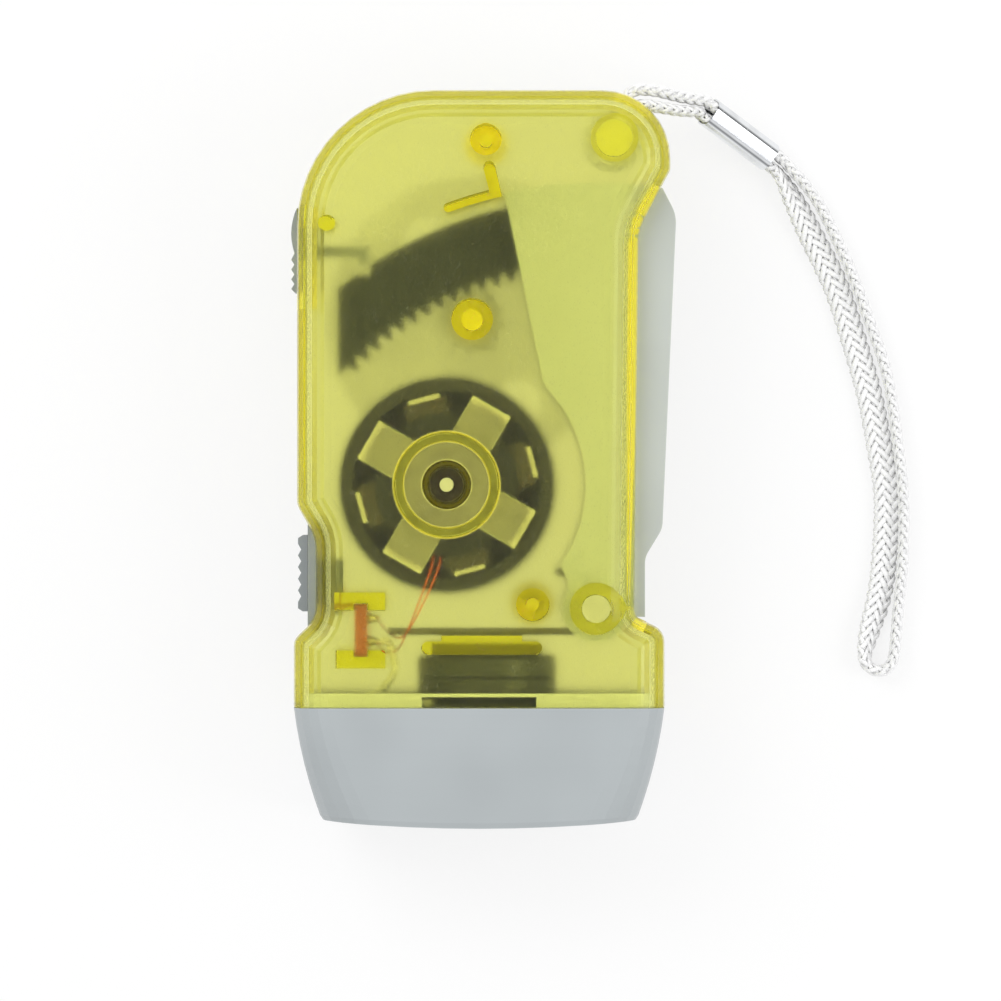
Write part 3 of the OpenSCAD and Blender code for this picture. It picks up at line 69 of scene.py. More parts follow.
# %% The camera, straight above
PICTURE_W = 144.75 * MM
PICTURE_MID = Vector((2.46, -5.93, 15)) * MM
CAMERA_UP = 1.4
camera = bpy.data.objects.new("camera", bpy.data.cameras.new("camera"))
bpy.context.scene.collection.objects.link(camera)
camera.data.sensor_width = 36
camera.data.lens = camera.data.sensor_width * CAMERA_UP / PICTURE_W
camera.data.clip_start, camera.data.clip_end = 0.05, 20
camera.location = PICTURE_MID + Vector((0, 0, CAMERA_UP))
bpy.context.scene.camera = camera
bpy.context.scene.view_settings.view_transform = "Standard"
print("focal length in mm:", round(camera.data.lens))

# %% [markdown]
# ## The wrist strap's route
# The strap is one flat woven tape. It turns round a post inside the corner, leaves the housing
# as two runs, passes a metal ferrule and lies on the table as a long narrow loop. The points
# repeat the CAD route, and a Catmull-Rom curve smooths them, because it passes through every
# point. Beside each point stands how far the tape is turned up on its edge, in degrees: it
# leaves the slot on edge, lies on its face down the left side and comes back on edge.

# %% Route points in millimetres, with the turn of the tape
POST = Vector((18.75, 46, 15))
OUT_ANGLE = math.radians(63)
OUT = Vector((math.cos(OUT_ANGLE), math.sin(OUT_ANGLE), 0))
ACROSS = Vector((-OUT.y, OUT.x, 0))
TAPE_PAIR = 1.0
SLOT_IN = 5.2
IN_SLOT = (0.15, 0.95)
IN_FERRULE = (-0.07, 0, 0.35, 0.65, 1, 1.07)


def by_post(out, across):
    return POST + OUT * out + ACROSS * across


def through(p, q):
    p, q = Vector(p), Vector(q)
    return [p + (q - p) * s for s in IN_FERRULE]


start = [by_post(SLOT_IN + u, -TAPE_PAIR) for u in IN_SLOT]
end = [by_post(SLOT_IN + u, TAPE_PAIR) for u in reversed(IN_SLOT)]
run_out = [(23.2, 51.3, 14.6), (25.2, 51, 13.6), (28.4, 50.6, 11.2)]
run_back = [(28.6, 52.6, 11.2), (25.2, 53.3, 13.6), (22.6, 53.5, 14.4), (21.2, 53, 14.8)]
ferrule_out = ((31.7, 50, 8.8), (41.3, 43.1, 3.2))
ferrule_back = ((42.5, 44.7, 3.2), (32.9, 51.6, 8.8))
loop = [
    (43.2, 41.4, 2.4, 75), (45.4, 37.6, 1.6, 40), (47.8, 32.8, 1.2, 15), (51.4, 25.4, 1, 0),
    (53.8, 18.2, 1, 0), (56.2, 10, 1, 0), (57.6, 3, 1, 0), (58.8, -5, 1, 0),
    (58.6, -13.2, 1, 5), (57.8, -19.6, 1.2, 20), (56.2, -25.4, 1.6, 45), (55.6, -28.6, 1.9, 70),
    (56.2, -30.2, 2, 85), (57.7, -30.8, 2.05, 90), (59.2, -30.2, 2.05, 90), (60, -28, 2.05, 90),
    (60.4, -23, 2.05, 90), (61.2, -14.6, 2.05, 90), (61.3, -6, 2.05, 90), (60.6, 1.4, 2.05, 90),
    (59, 12, 2.05, 90), (56.2, 20.6, 2.05, 90), (53.6, 27.6, 2.05, 90), (50.4, 34.6, 2.05, 90),
    (48, 38.8, 2.1, 90), (44.6, 42.8, 2.5, 90)]
ON_EDGE = 90
route = (
    [(*p, ON_EDGE) for p in start]
    + [(*p, ON_EDGE) for p in run_out]
    + [(*p, ON_EDGE) for p in through(*ferrule_out)]
    + loop
    + [(*p, ON_EDGE) for p in through(*ferrule_back)]
    + [(*p, ON_EDGE) for p in run_back]
    + [(*p, ON_EDGE) for p in end])
print("route points:", len(route))

# %% [markdown]
# ## One smooth line with even steps
# A curve object with a bevel could carry the tape, but it knows nothing of yarns. The weave
# repeats by length, so every yarn has to know how far along the tape it is. That is why the curve
# is worked out here and then resampled at one even step, which also keeps the faces alike.

# %% Smoothing and even steps
WEAVE_STEP = 0.3


def smooth(points, steps=12):
    """A Catmull-Rom curve through the points, with this many steps from one to the next."""
    p = np.array(points, float)
    q = np.vstack([p[:1], p, p[-1:]])
    t = (np.arange(steps) / steps)[:, None]
    rows = [
        0.5 * (2 * b + (c - a) * t + (2 * a - 5 * b + 4 * c - d) * t**2
               + (3 * b - a - 3 * c + d) * t**3)
        for a, b, c, d in zip(q, q[1:], q[2:], q[3:])]
    return np.vstack([*rows, p[-1:]])


def even(points, step):
    """The same line in even steps, and how far along it each new point is."""
    d = np.r_[0, np.cumsum(np.linalg.norm(np.diff(points[:, :3], axis=0), axis=1))]
    s = np.linspace(0, d[-1], int(round(d[-1] / step)) + 1)
    return np.stack([np.interp(s, d, points[:, i]) for i in range(points.shape[1])], 1), s


strap_line, strap_s = even(smooth(route), WEAVE_STEP)
print("strap length in mm:", round(float(strap_s[-1]), 1))

# %% [markdown]
# ## Weaving the tape
# The real tape is a tubular braid pressed flat: six yarns wind one way, six the other way,
# and each passes over two and under two. A bump map would look painted here, because the
# bumpy edges show against the white. So every yarn is a real tube. It runs round a flat oval
# by arc length, which keeps the slant even, and a cosine lifts it over and under. The lift
# depends on which yarns cross, so both directions always agree on who is on top.

# %% Yarn sizes and paths
YARNS = 6
BRAID_PITCH = 9.6
TAPE_HALF_W, TAPE_HALF_T = 1.62, 0.5
YARN_HALF_W, YARN_HALF_T = 0.42, 0.22
YARN_LIFT = 0.2
YARN_SIDES = 6


def oval_table(a, b, n=720):
    t = np.linspace(0, 2 * math.pi, n + 1)
    x, y = a * np.cos(t), b * np.sin(t)
    d = np.r_[0, np.cumsum(np.hypot(np.diff(x), np.diff(y)))]
    return d / d[-1], t


def unit(v):
    return v / np.linalg.norm(v, axis=-1, keepdims=True)


def tape_axes(line):
    along = unit(np.gradient(line[:, :3], axis=0))
    level = unit(np.cross(along, [0, 0, 1]))
    up = np.cross(level, along)
    turn = np.radians(line[:, 3])[:, None]
    wide = level * np.cos(turn) + up * np.sin(turn)
    return along, wide, np.cross(wide, along)


def yarn_rings(line, s, k, way):
    along, wide, thick = tape_axes(line)
    share, angle = oval_table(TAPE_HALF_W, TAPE_HALF_T)
    u = (k / YARNS + way * s / BRAID_PITCH) % 1
    t = np.interp(u, share, angle)
    phase = math.pi * k + way * math.pi * s * YARNS / BRAID_PITCH + math.pi / 4
    lift = way * YARN_LIFT * np.cos(phase)
    c, d = np.cos(t)[:, None], np.sin(t)[:, None]
    out = unit(wide * c * TAPE_HALF_T + thick * d * TAPE_HALF_W)
    mid = line[:, :3] + wide * c * TAPE_HALF_W + thick * d * TAPE_HALF_T + out * lift[:, None]
    side = unit(np.cross(unit(np.gradient(mid, axis=0)), out))
    turns = np.arange(YARN_SIDES) * 2 * math.pi / YARN_SIDES
    return (mid[:, None] + side[:, None] * (YARN_HALF_W * np.cos(turns))[None, :, None]
            + out[:, None] * (YARN_HALF_T * np.sin(turns))[None, :, None])


yarn_turns = 2 * YARNS * strap_s[-1] / BRAID_PITCH
print("crossings that a yarn makes along the tape:", round(float(yarn_turns)))

# %% [markdown]
# ### From rings to a mesh
# A tube is a row of rings, so one helper joins neighbouring rings with four-sided faces and
# closes both ends, and another puts several tubes into one mesh. Both serve the screws, the
# wires and the lamp posts later. A new piece is told here which body carries it, so that it
# moves with that body at every pose.

# %% Skinning and making a piece
def skin(rings):
    n, m = rings.shape[:2]
    i, j = np.meshgrid(np.arange(n - 1), np.arange(m), indexing="ij")
    k = (j + 1) % m
    quads = np.stack([i * m + j, i * m + k, (i + 1) * m + k, (i + 1) * m + j], -1)
    ends = [list(range(m))[::-1], list(range((n - 1) * m, n * m))]
    return quads.reshape(-1, 4).tolist() + ends


def joined(tubes):
    """Points and faces of several tubes as one mesh."""
    verts, faces, first = [], [], 0
    for rings in tubes:
        verts.append(rings.reshape(-1, 3))
        faces += [[first + i for i in f] for f in skin(rings)]
        first += len(verts[-1])
    return np.vstack(verts), faces


def make_piece(name, verts, faces, body):
    mesh = bpy.data.meshes.new(name)
    mesh.from_pydata((np.asarray(verts, float) * MM).tolist(), [], faces)
    mesh.validate()
    mesh.polygons.foreach_set("use_smooth", [True] * len(mesh.polygons))
    piece = bpy.data.objects.new(name, mesh)
    bpy.context.scene.collection.objects.link(piece)
    if body:
        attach(piece, body)
    return piece


print("sides of a yarn:", YARN_SIDES)

# %% [markdown]
# ### The braid itself
# Both directions are skinned into one mesh, because the tape is one piece to anyone who picks
# it up. It takes the place of the CAD strap, which is a plain tape of the same width.

# %% The braid
def braid(name, line, s):
    yarns = [yarn_rings(line, s, k, way) for way in (1, -1) for k in range(YARNS)]
    return make_piece(name, *joined(yarns), "housing")


strap_braid = braid("strap_braid", strap_line, strap_s)
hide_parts("strap")
print("yarn faces:", len(strap_braid.data.polygons))

# %% [markdown]
# ## The turn round the post
# Inside the corner the tape goes round a moulded post, and that is all that holds it in the
# housing. It is woven by the same function. It stays a piece of its own, because the loop
# outside is a free cord and this turn is held still.

# %% The turn round the post, inside the corner
POST_TURN_R = 3.6
POST_TURN_STEPS = 16
SLOT_FADE = 0.95
touch = math.acos(POST_TURN_R / math.hypot(SLOT_IN, TAPE_PAIR)) + math.atan2(TAPE_PAIR, SLOT_IN)
post_angles = [touch + (2 * math.pi - 2 * touch) * k / POST_TURN_STEPS
               for k in range(POST_TURN_STEPS + 1)]
post_turn = (
    [by_post(SLOT_IN, TAPE_PAIR), by_post(SLOT_IN - SLOT_FADE, TAPE_PAIR)]
    + [by_post(POST_TURN_R * math.cos(a), POST_TURN_R * math.sin(a)) for a in post_angles]
    + [by_post(SLOT_IN - SLOT_FADE, -TAPE_PAIR), by_post(SLOT_IN, -TAPE_PAIR)])
post_line, post_s = even(smooth([(*p, ON_EDGE) for p in post_turn], steps=4), WEAVE_STEP)
post_braid = braid("strap_post_turn", post_line, post_s)
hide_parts("strap_anchor")
print("turn round the post in mm:", round(float(post_s[-1]), 1))

# %% [markdown]
# ## The strap as a cord
# The loop is a free cord of a known length, and the ferrule is the one separate piece on it.

# %% [markdown]
# ## Turned and drawn pieces
# The coil and its former are round, so each is one outline turned about an upright axis.
# Blender has a Screw modifier for that, but a short function keeps every corner at a known
# size. Edges that turn more than a set angle are marked sharp, so that smooth shading keeps
# them crisp.

# %% Turning an outline
SHARP_ANGLE = math.radians(38)


def crisp(piece):
    m = bmesh.new()
    m.from_mesh(piece.data)
    bmesh.ops.recalc_face_normals(m, faces=m.faces)
    for e in m.edges:
        e.smooth = len(e.link_faces) != 2 or e.calc_face_angle() < SHARP_ANGLE
    m.to_mesh(piece.data)
    m.free()
    return piece


def turned(name, outline, axis_x, axis_y, body, steps=72):
    """Turn a closed outline of (radius, height) points about an upright axis."""
    a = np.arange(steps) * 2 * math.pi / steps
    r, z = np.array(outline, float).T
    verts = np.stack([axis_x + np.outer(np.cos(a), r), axis_y + np.outer(np.sin(a), r),
                      np.tile(z, (steps, 1))], -1).reshape(-1, 3)
    n = len(outline)
    i, j = np.meshgrid(np.arange(steps), np.arange(n), indexing="ij")
    k, l = (i + 1) % steps, (j + 1) % n
    faces = np.stack([i * n + j, k * n + j, k * n + l, i * n + l], -1).reshape(-1, 4).tolist()
    return crisp(make_piece(name, verts, faces, body))


print("edges sharper than this angle stay crisp:", round(math.degrees(SHARP_ANGLE)))

# %% [markdown]
# ### Drawing a wire
# Leads and the spring are a round section carried along a line of points. At each point the
# section is turned as little as possible, because a section that follows a fixed direction
# would twist where the wire turns down.

# %% Rings along a line
WIRE_STEP = 0.3
STEEP = 0.9


def wire_rings(points, radius, sides):
    along = unit(np.gradient(points, axis=0))
    side = np.cross(along[0], [0, 0, 1] if abs(along[0][2]) < STEEP else [1, 0, 0])
    rings = []
    for p, t in zip(points, along):
        side = unit(side - t * np.dot(side, t))
        up = np.cross(t, side)
        a = np.arange(sides) * 2 * math.pi / sides
        rings.append(p + radius * (np.outer(np.cos(a), side) + np.outer(np.sin(a), up)))
    return np.array(rings)


def wire(name, routes, radius, body, sides):
    lines = [even(smooth(points), WIRE_STEP)[0] for points in routes]
    return make_piece(name, *joined([wire_rings(line, radius, sides) for line in lines]), body)


GENERATOR = (-5.27, -3.67)
PIVOT = (16.13, -21.47)
print("generator axis:", GENERATOR, "lever pivot:", PIVOT)

# %% [markdown]
# ## The coil and its former
# Under the claws sits a black former, and enamelled wire is wound on it layer by layer. The
# outer turns lie side by side, so the outline of the winding is a row of small arcs, one for
# each turn. Its flanges end well inside the claws, which lets the arms of the lower claws show
# as pale patches in the gap.

# %% The former and the winding
FORMER_R, FLANGE_T = 10.3, 0.7
FORMER_Z = (12.45, 23.35)
BARREL_R, BORE_R = 4.6, 3.56
FLANGE_ROUND = 0.2
WIRE_D, WINDING_R = 0.36, 9.6
WINDING_PLAY, BARREL_PLAY = 0.06, 0.05
ARC_ANGLES = (-70, -35, 0, 35, 70)
low, high = FORMER_Z
former = turned("coil_former", [
    (BORE_R, low), (FORMER_R - FLANGE_ROUND, low), (FORMER_R, low + FLANGE_ROUND),
    (FORMER_R, low + FLANGE_T), (BARREL_R, low + FLANGE_T), (BARREL_R, high - FLANGE_T),
    (FORMER_R, high - FLANGE_T), (FORMER_R, high - FLANGE_ROUND),
    (FORMER_R - FLANGE_ROUND, high), (BORE_R, high)], *GENERATOR, "housing")
first, last = low + FLANGE_T + WINDING_PLAY, high - FLANGE_T - WINDING_PLAY
wires = int((last - first) / WIRE_D)
arcs = []
for k in range(wires):
    mid = first + (k + 0.5) * (last - first) / wires
    for a in ARC_ANGLES:
        arcs.append((WINDING_R + WIRE_D / 2 * math.cos(math.radians(a)),
                     mid + WIRE_D / 2 * math.sin(math.radians(a))))
inner_r = BARREL_R + BARREL_PLAY
winding = turned("coil_turns", [(inner_r, first)] + arcs + [(inner_r, last)],
                 *GENERATOR, "housing")
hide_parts("coil_bobbin")
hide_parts("coil_winding")
print("turns in the outer layer:", wires)

# %% [markdown]
# ## The coil's two leads
# The ends of the winding are hair-fine copper. They leave the coil together, cross once in
# front of the spring and end on the solder of the switch board. Each is a thin tube along a few
# chosen points.

# %% The copper leads
LEAD_R, LEAD_SIDES = 0.1, 8
SOLDER_IN = (0.25, 0.5)
terminal_lo, terminal_hi = [Vector(v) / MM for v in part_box("switch_terminals")]
solder_low = (terminal_hi.x - SOLDER_IN[0], terminal_lo.y + SOLDER_IN[1], terminal_hi.z)
solder_high = (terminal_hi.x - SOLDER_IN[0], terminal_hi.y - SOLDER_IN[1], terminal_hi.z)
leads = wire("coil_leads", [
    [(-7.1, -13.7, 22.9), (-7.5, -15.6, 23.2), (-8.9, -19.6, 23.6), (-11.1, -25.1, 23.7),
     (-12.4, -27.4, 22.4), (-14.2, -27.8, 19), solder_low],
    [(-6.2, -13.8, 22.9), (-6.5, -15.7, 23.3), (-8.4, -20.2, 24.1), (-11, -24.9, 24.2),
     (-12.6, -25.6, 22.8), (-14.4, -24.2, 19), solder_high]], LEAD_R, "housing", LEAD_SIDES)
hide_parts("copper_leads")
print("lead thickness in mm:", 2 * LEAD_R)

# %% [markdown]
# ## The return spring
# The spring is one drawn wire. Its long leg lies on the rest rib, four coils go down round the
# pivot and the short leg hooks on the lever. When the lever is squeezed, the top stays with the
# housing and the lower end turns with the lever. Here the wire is baked in place and gets no
# body of its own.

# %% The spring and how it winds
SPRING_R, COIL_R, COIL_PITCH = 0.5, 3.3, 1.55
SPRING_TOP, SPRING_END = 21.0, 1601.66
LEG_Y = PIVOT[1] - COIL_R
LEG_END_X, LEG_MEETS_COIL_X = -13.65, 8
HOOK = (10.93, -16.27)
HOOK_BENDS = ((0.5, -0.15, -0.1), (0, 0, -0.6))
HOOK_TIP = (10.83, -16.17, 9)
COIL_STEPS, SPRING_SIDES = 88, 16
coil = []
for k in range(COIL_STEPS + 1):
    a = SPRING_END * k / COIL_STEPS
    rad = math.radians(a - 90)
    coil.append((PIVOT[0] + COIL_R * math.cos(rad), PIVOT[1] + COIL_R * math.sin(rad),
                 SPRING_TOP - COIL_PITCH * a / 360))
hook_z = coil[-1][2]
spring = wire("return_spring", [
    [(x, LEG_Y, SPRING_TOP) for x in (LEG_END_X, GENERATOR[0], LEG_MEETS_COIL_X)]
    + coil + [(HOOK[0] + x, HOOK[1] + y, hook_z + z) for x, y, z in HOOK_BENDS]
    + [HOOK_TIP]], SPRING_R, None, SPRING_SIDES)
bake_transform(spring)
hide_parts("torsion_spring")
print("spring turns:", round(SPRING_END / 360, 2))

# %% [markdown]
# ## The two case screws
# They go in from the back. A self-tapping screw for plastic has a domed head with a cross
# recess and a coarse thread. Cutting the cross with a boolean would leave sharp, thin faces.
# Here the head is a round grid whose height drops where the cross is, so the recess gets
# tapered walls like a pressed one.

# %% Screw heads
SCREWS = ((0.35, 45.8), (7.08, -20.87))
HEAD_R, HEAD_T, HEAD_Z = 1.9, 1.35, 0.8
DOME_H = 0.45
CROSS_LONG, CROSS_WIDE, CROSS_DEEP = 1.05, 0.3, 0.75
CROSS_WALL, CROSS_END = 0.16, 0.3
HEAD_ROWS, HEAD_STEPS = 22, 72


def head_grid(x, y):
    """A screw head as rings round its middle, with the cross pressed in."""
    verts = []
    angles = [2 * math.pi * j / HEAD_STEPS for j in range(HEAD_STEPS)]
    for i in range(HEAD_ROWS + 1):
        r = HEAD_R * i / HEAD_ROWS
        for a in angles:
            u, v = r * math.cos(a), r * math.sin(a)
            dome = DOME_H * (r / HEAD_R) ** 3
            arm = min(max((CROSS_WIDE - min(abs(u), abs(v))) / CROSS_WALL, 0), 1)
            reach = min(max((CROSS_LONG - max(abs(u), abs(v))) / CROSS_END, 0), 1)
            verts.append((x + u, y + v, HEAD_Z + max(dome, CROSS_DEEP * arm * reach)))
    verts += [(x + HEAD_R * math.cos(a), y + HEAD_R * math.sin(a), HEAD_Z + HEAD_T)
              for a in angles]
    return np.array(verts).reshape(HEAD_ROWS + 2, HEAD_STEPS, 3)


print("points in a screw head:", len(head_grid(0, 0).reshape(-1, 3)))

# %% [markdown]
# ### The thread
# A ridge winds up the shank: at every height and angle, the radius depends on how far that
# point is from the middle of the ridge. It fades in below the head and out at the tip, where
# the shank comes to a blunt point.

# %% Threads, and both screws
SHANK_Z = (2.1, 20.7)
CREST_R, ROOT_R, THREAD_PITCH = 0.93, 0.68, 0.9
RING_STEP, SHANK_SIDES = 0.075, 28
RIDGE_SLOPE, THREAD_FROM, FADE_IN = 4.2, 1, 1.2
TIP_L, TIP_SHARE, TIP_RIDGE = 1.5, 0.25, 0.1


def thread_rings(x, y):
    """A shank with its thread, from below the head to the tip."""
    zs = np.arange(SHANK_Z[0], SHANK_Z[1], RING_STEP)
    a = np.arange(SHANK_SIDES) * 2 * math.pi / SHANK_SIDES
    turn = (zs[:, None] / THREAD_PITCH - a[None] / (2 * math.pi)) % 1
    ridge = np.clip(1 - np.abs(turn - 0.5) * RIDGE_SLOPE, 0, 1)
    to_tip = (SHANK_Z[1] - zs) / TIP_L
    fade_in = np.clip((zs - SHANK_Z[0] - THREAD_FROM) / FADE_IN, 0, 1)
    fade = fade_in * np.clip(to_tip, TIP_RIDGE, 1)
    root = ROOT_R * np.clip(to_tip, TIP_SHARE, 1)
    r = root[:, None] + (CREST_R - ROOT_R) * ridge * fade[:, None]
    heights = np.tile(zs[:, None], (1, SHANK_SIDES))
    return np.stack([x + r * np.cos(a), y + r * np.sin(a), heights], -1)


screw_parts = [shape(x, y) for x, y in SCREWS for shape in (head_grid, thread_rings)]
screws = crisp(make_piece("cross_head_screws", *joined(screw_parts), "housing"))
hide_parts("case_screws")
print("screw faces:", len(screws.data.polygons))

# %% [markdown]
# ## What is inside each lamp
# A clear lamp shows its metal: a thick post that ends in a tiny bowl with the chip, and a
# thinner post beside it, joined by a bond wire. These parts are why a lamp doesn't look like a
# glass bead, so each lamp gets them inside its epoxy.

# %% Posts, bowls and bond wires
POST_R, BOWL_R = 0.28, 0.75
CHIP_IN = 3.2
BOWL_SIDES, POST_SIDES, BOND_SIDES = 20, 10, 6
BOND_R, BOND_ON_CHIP, BOND_TOP = 0.04, 0.25, (0.35, -0.5)
BOWL_OUTLINE = ((1.4, POST_R), (0.8, POST_R), (0.5, BOWL_R * 0.8), (-0.1, BOWL_R),
                (-0.1, BOWL_R * 0.85), (0.3, BOWL_R * 0.45))
THICK_POST, THIN_POST = (-0.7, 1.6, 0.34, 0.6), (0.95, 0.9, 0.24, 1)
FOOT_IN, POST_BEND = 3.4, 1.2


def lamp_metal(name):
    """The bowl, both posts and the bond wire of one lamp, as rows of rings."""
    lo, hi = [Vector(v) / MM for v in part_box(name)]
    x, z = (lo.x + hi.x) / 2, (lo.z + hi.z) / 2
    chip_y = lo.y + CHIP_IN
    a = np.arange(BOWL_SIDES) * 2 * math.pi / BOWL_SIDES
    parts = [np.array([[(x + r * math.cos(t), chip_y + up, z + r * math.sin(t)) for t in a]
                       for up, r in BOWL_OUTLINE])]
    for aside, top_up, r, top_share in (THICK_POST, THIN_POST):
        top = chip_y + top_up
        line = np.array([(x + aside * share, y, z) for share, y in
                         ((1, hi.y - FOOT_IN), (1, top + POST_BEND), (top_share, top))])
        parts.append(wire_rings(line, r, POST_SIDES))
    bond = smooth([(x, chip_y + BOND_ON_CHIP, z), (x + BOND_TOP[0], chip_y + BOND_TOP[1], z),
                   (x + THIN_POST[0], chip_y + THIN_POST[1], z)], steps=6)
    parts.append(wire_rings(bond, BOND_R, BOND_SIDES))
    return parts


LAMPS = ("led_left", "led_centre", "led_right")
lamp_parts = [rings for lamp in LAMPS for rings in lamp_metal(lamp)]
lamp_posts = make_piece("lamp_posts", *joined(lamp_parts), "housing")
print("lamp metal faces:", len(lamp_posts.data.polygons))

# %% [markdown]
# ## Helpers for the finishes
# All finishes are built from the same few steps: a colour given as screen values, noise read in
# object coordinates so that its grain has a real size in millimetres, a soft change of colour
# over the piece, and a bump for the grain. Image textures would need unwrapping and would
# stretch over the roundings. Small helpers keep each finish short to read.

# %% Colour and grain helpers
EDGE_FROM, EDGE_FULL, BEVEL_SAMPLES = 0.98, 0.75, 4


def screen(r, g, b):
    """A colour from its 0 to 255 values on a screen, by the sRGB curve."""
    return tuple(((c / 255 + 0.055) / 1.055) ** 2.4 if c > 10 else c / 255 / 12.92
                 for c in (r, g, b)) + (1,)


def tinted(colour, share):
    """The same colour, lighter or darker by a share."""
    return tuple(min(1, c * share) for c in colour[:3]) + (1,)


class Finish:
    """One material with its shader, and short ways to add grain, tone and relief."""

    def __init__(self, name, colour, rough, **sockets):
        self.mat = bpy.data.materials.new(name)
        self.mat.use_nodes = True
        self.tree = self.mat.node_tree
        self.bsdf = self.tree.nodes["Principled BSDF"]
        self.colour = colour
        self.bsdf.inputs["Base Color"].default_value = colour
        self.bsdf.inputs["Roughness"].default_value = rough
        for key, value in sockets.items():
            self.bsdf.inputs[key.replace("_", " ")].default_value = value
        self.place = self.add("ShaderNodeTexCoord").outputs["Object"]
        self.normal = None

    def add(self, kind, **sockets):
        n = self.tree.nodes.new(kind)
        for key, value in sockets.items():
            n.inputs[key.replace("_", " ")].default_value = value
        return n

    def link(self, a, b):
        self.tree.links.new(a, b)

    def noise(self, size_mm, stretch=(1, 1, 1), detail=2.0):
        mapping = self.add("ShaderNodeMapping")
        mapping.inputs["Scale"].default_value = stretch
        self.link(self.place, mapping.inputs["Vector"])
        n = self.add("ShaderNodeTexNoise", Scale=1 / (size_mm * MM), Detail=detail)
        self.link(mapping.outputs["Vector"], n.inputs["Vector"])
        return n.outputs["Fac"]

    def spread(self, value, low, high, new_low=0.0, new_high=1.0):
        n = self.add("ShaderNodeMapRange")
        for key, v in (("From Min", low), ("From Max", high), ("To Min", new_low),
                       ("To Max", new_high)):
            n.inputs[key].default_value = v
        self.link(value, n.inputs["Value"])
        return n.outputs["Result"]

    def tone(self, mask, other):
        """Blend the base colour towards another one where the mask is 1."""
        n = self.add("ShaderNodeMix")
        n.data_type = "RGBA"
        base = self.bsdf.inputs["Base Color"]
        if base.links:
            self.link(base.links[0].from_socket, n.inputs[6])
        else:
            n.inputs[6].default_value = self.colour
        n.inputs[7].default_value = other
        self.link(mask, n.inputs[0])
        self.link(n.outputs[2], base)

    def roughness(self, mask, low, high):
        self.link(self.spread(mask, 0, 1, low, high), self.bsdf.inputs["Roughness"])

    def relief(self, height, depth_mm, strength=1.0):
        n = self.add("ShaderNodeBump", Strength=strength, Distance=depth_mm * MM)
        self.link(height, n.inputs["Height"])
        if self.normal:
            self.link(self.normal, n.inputs["Normal"])
        self.normal = n.outputs["Normal"]
        self.link(self.normal, self.bsdf.inputs["Normal"])

    def fill(self, node, operation, values):
        """Set a maths node's inputs, each to a plain value or a link."""
        node.operation = operation
        for slot, value in zip(node.inputs, values):
            if isinstance(value, (int, float, tuple)):
                slot.default_value = value
            elif value is not None:
                self.link(value, slot)
        return node

    def maths(self, operation, a, b=None):
        return self.fill(self.add("ShaderNodeMath"), operation, (a, b)).outputs[0]

    def vector_maths(self, operation, a, b=None):
        return self.fill(self.add("ShaderNodeVectorMath"), operation, (a, b))

    def part(self, vector, axis):
        """The X, Y or Z of a vector."""
        split = self.add("ShaderNodeSeparateXYZ")
        self.link(vector, split.inputs[0])
        return split.outputs[axis]

    def stripe(self, value, middle, half_width, strength):
        """A soft stripe that is strongest where the value is at its middle."""
        off = self.maths("ABSOLUTE", self.maths("SUBTRACT", value, middle))
        return self.spread(off, 0, half_width, strength, 0)

    def from_axis(self, x_mm, y_mm):
        """How far a point lies from an upright axis, in metres."""
        off = self.vector_maths("SUBTRACT", self.place, (x_mm * MM, y_mm * MM, 0))
        flat = self.vector_maths("MULTIPLY", off.outputs[0], (1, 1, 0))
        return self.vector_maths("LENGTH", flat.outputs[0]).outputs["Value"]

    def edges(self, radius_mm):
        """A mask that is 1 along sharp edges, from how far a bevelled normal turns."""
        bevel = self.add("ShaderNodeBevel", Radius=radius_mm * MM)
        bevel.samples = BEVEL_SAMPLES
        dot = self.vector_maths("DOT_PRODUCT", bevel.outputs["Normal"],
                                self.add("ShaderNodeNewGeometry").outputs["Normal"])
        return self.spread(dot.outputs["Value"], EDGE_FROM, EDGE_FULL)


def give(finish, *names):
    for name in names:
        piece = bpy.data.objects[name]
        piece.data.materials.clear()
        piece.data.materials.append(finish.mat)
    print(finish.mat.name, "on", ", ".join(names))


# %% [markdown]
# ## The see-through yellow housing
# The shells are clear polystyrene with a yellow dye. Light is dyed by the way it travels in the
# plastic, so a thin wall looks lemon and a post seen along its length looks deep yellow. A
# coloured surface would miss that. So the surface itself is nearly colourless, and an absorbing
# volume eats the blue with depth. The outside is polished and the inside has a spark-eroded
# texture that blurs whatever lies deeper, so each face has to know which side it is on.
#
# Painting that by hand would be lost with every new model. A ray test does it instead: rays go
# out from each face, and where most of them meet plastic again, the face looks inward.

# %% Rays that leave a face
RAY_START = 0.05
RAY_TILT, LEVEL_TILT = 0.9, 0.6
RAYS_IN = 4


def outward_rays(normal):
    tilts = ((0, 0, 0), (0, 0, RAY_TILT), (0, 0, -RAY_TILT), (LEVEL_TILT, 0, 0),
             (-LEVEL_TILT, 0, 0), (0, LEVEL_TILT, 0), (0, -LEVEL_TILT, 0))
    return [(normal + Vector(t)).normalized() for t in tilts]


def looks_in(tree, p):
    spot = p.center + p.normal * RAY_START * MM
    hits = [tree.ray_cast(spot, ray)[0] for ray in outward_rays(p.normal)]
    return sum(hit is not None for hit in hits) >= RAYS_IN


def off_axis(point, axis):
    return math.hypot(point.x / MM - axis[0], point.y / MM - axis[1])


print("rays for each face:", len(outward_rays(Vector((0, 0, 1)))))

# %% [markdown]
# ### Where light leaves the plastic
# Light that gets into clear plastic runs along inside it and leaves at the ends: the tips of ribs
# and posts look lit, and so does the rim where the two halves meet. A second number for each
# face says how strongly. An end is level, and has a good depth of plastic behind it. The rim
# is told from a post by level rays: from the outer wall many of them reach the open air.

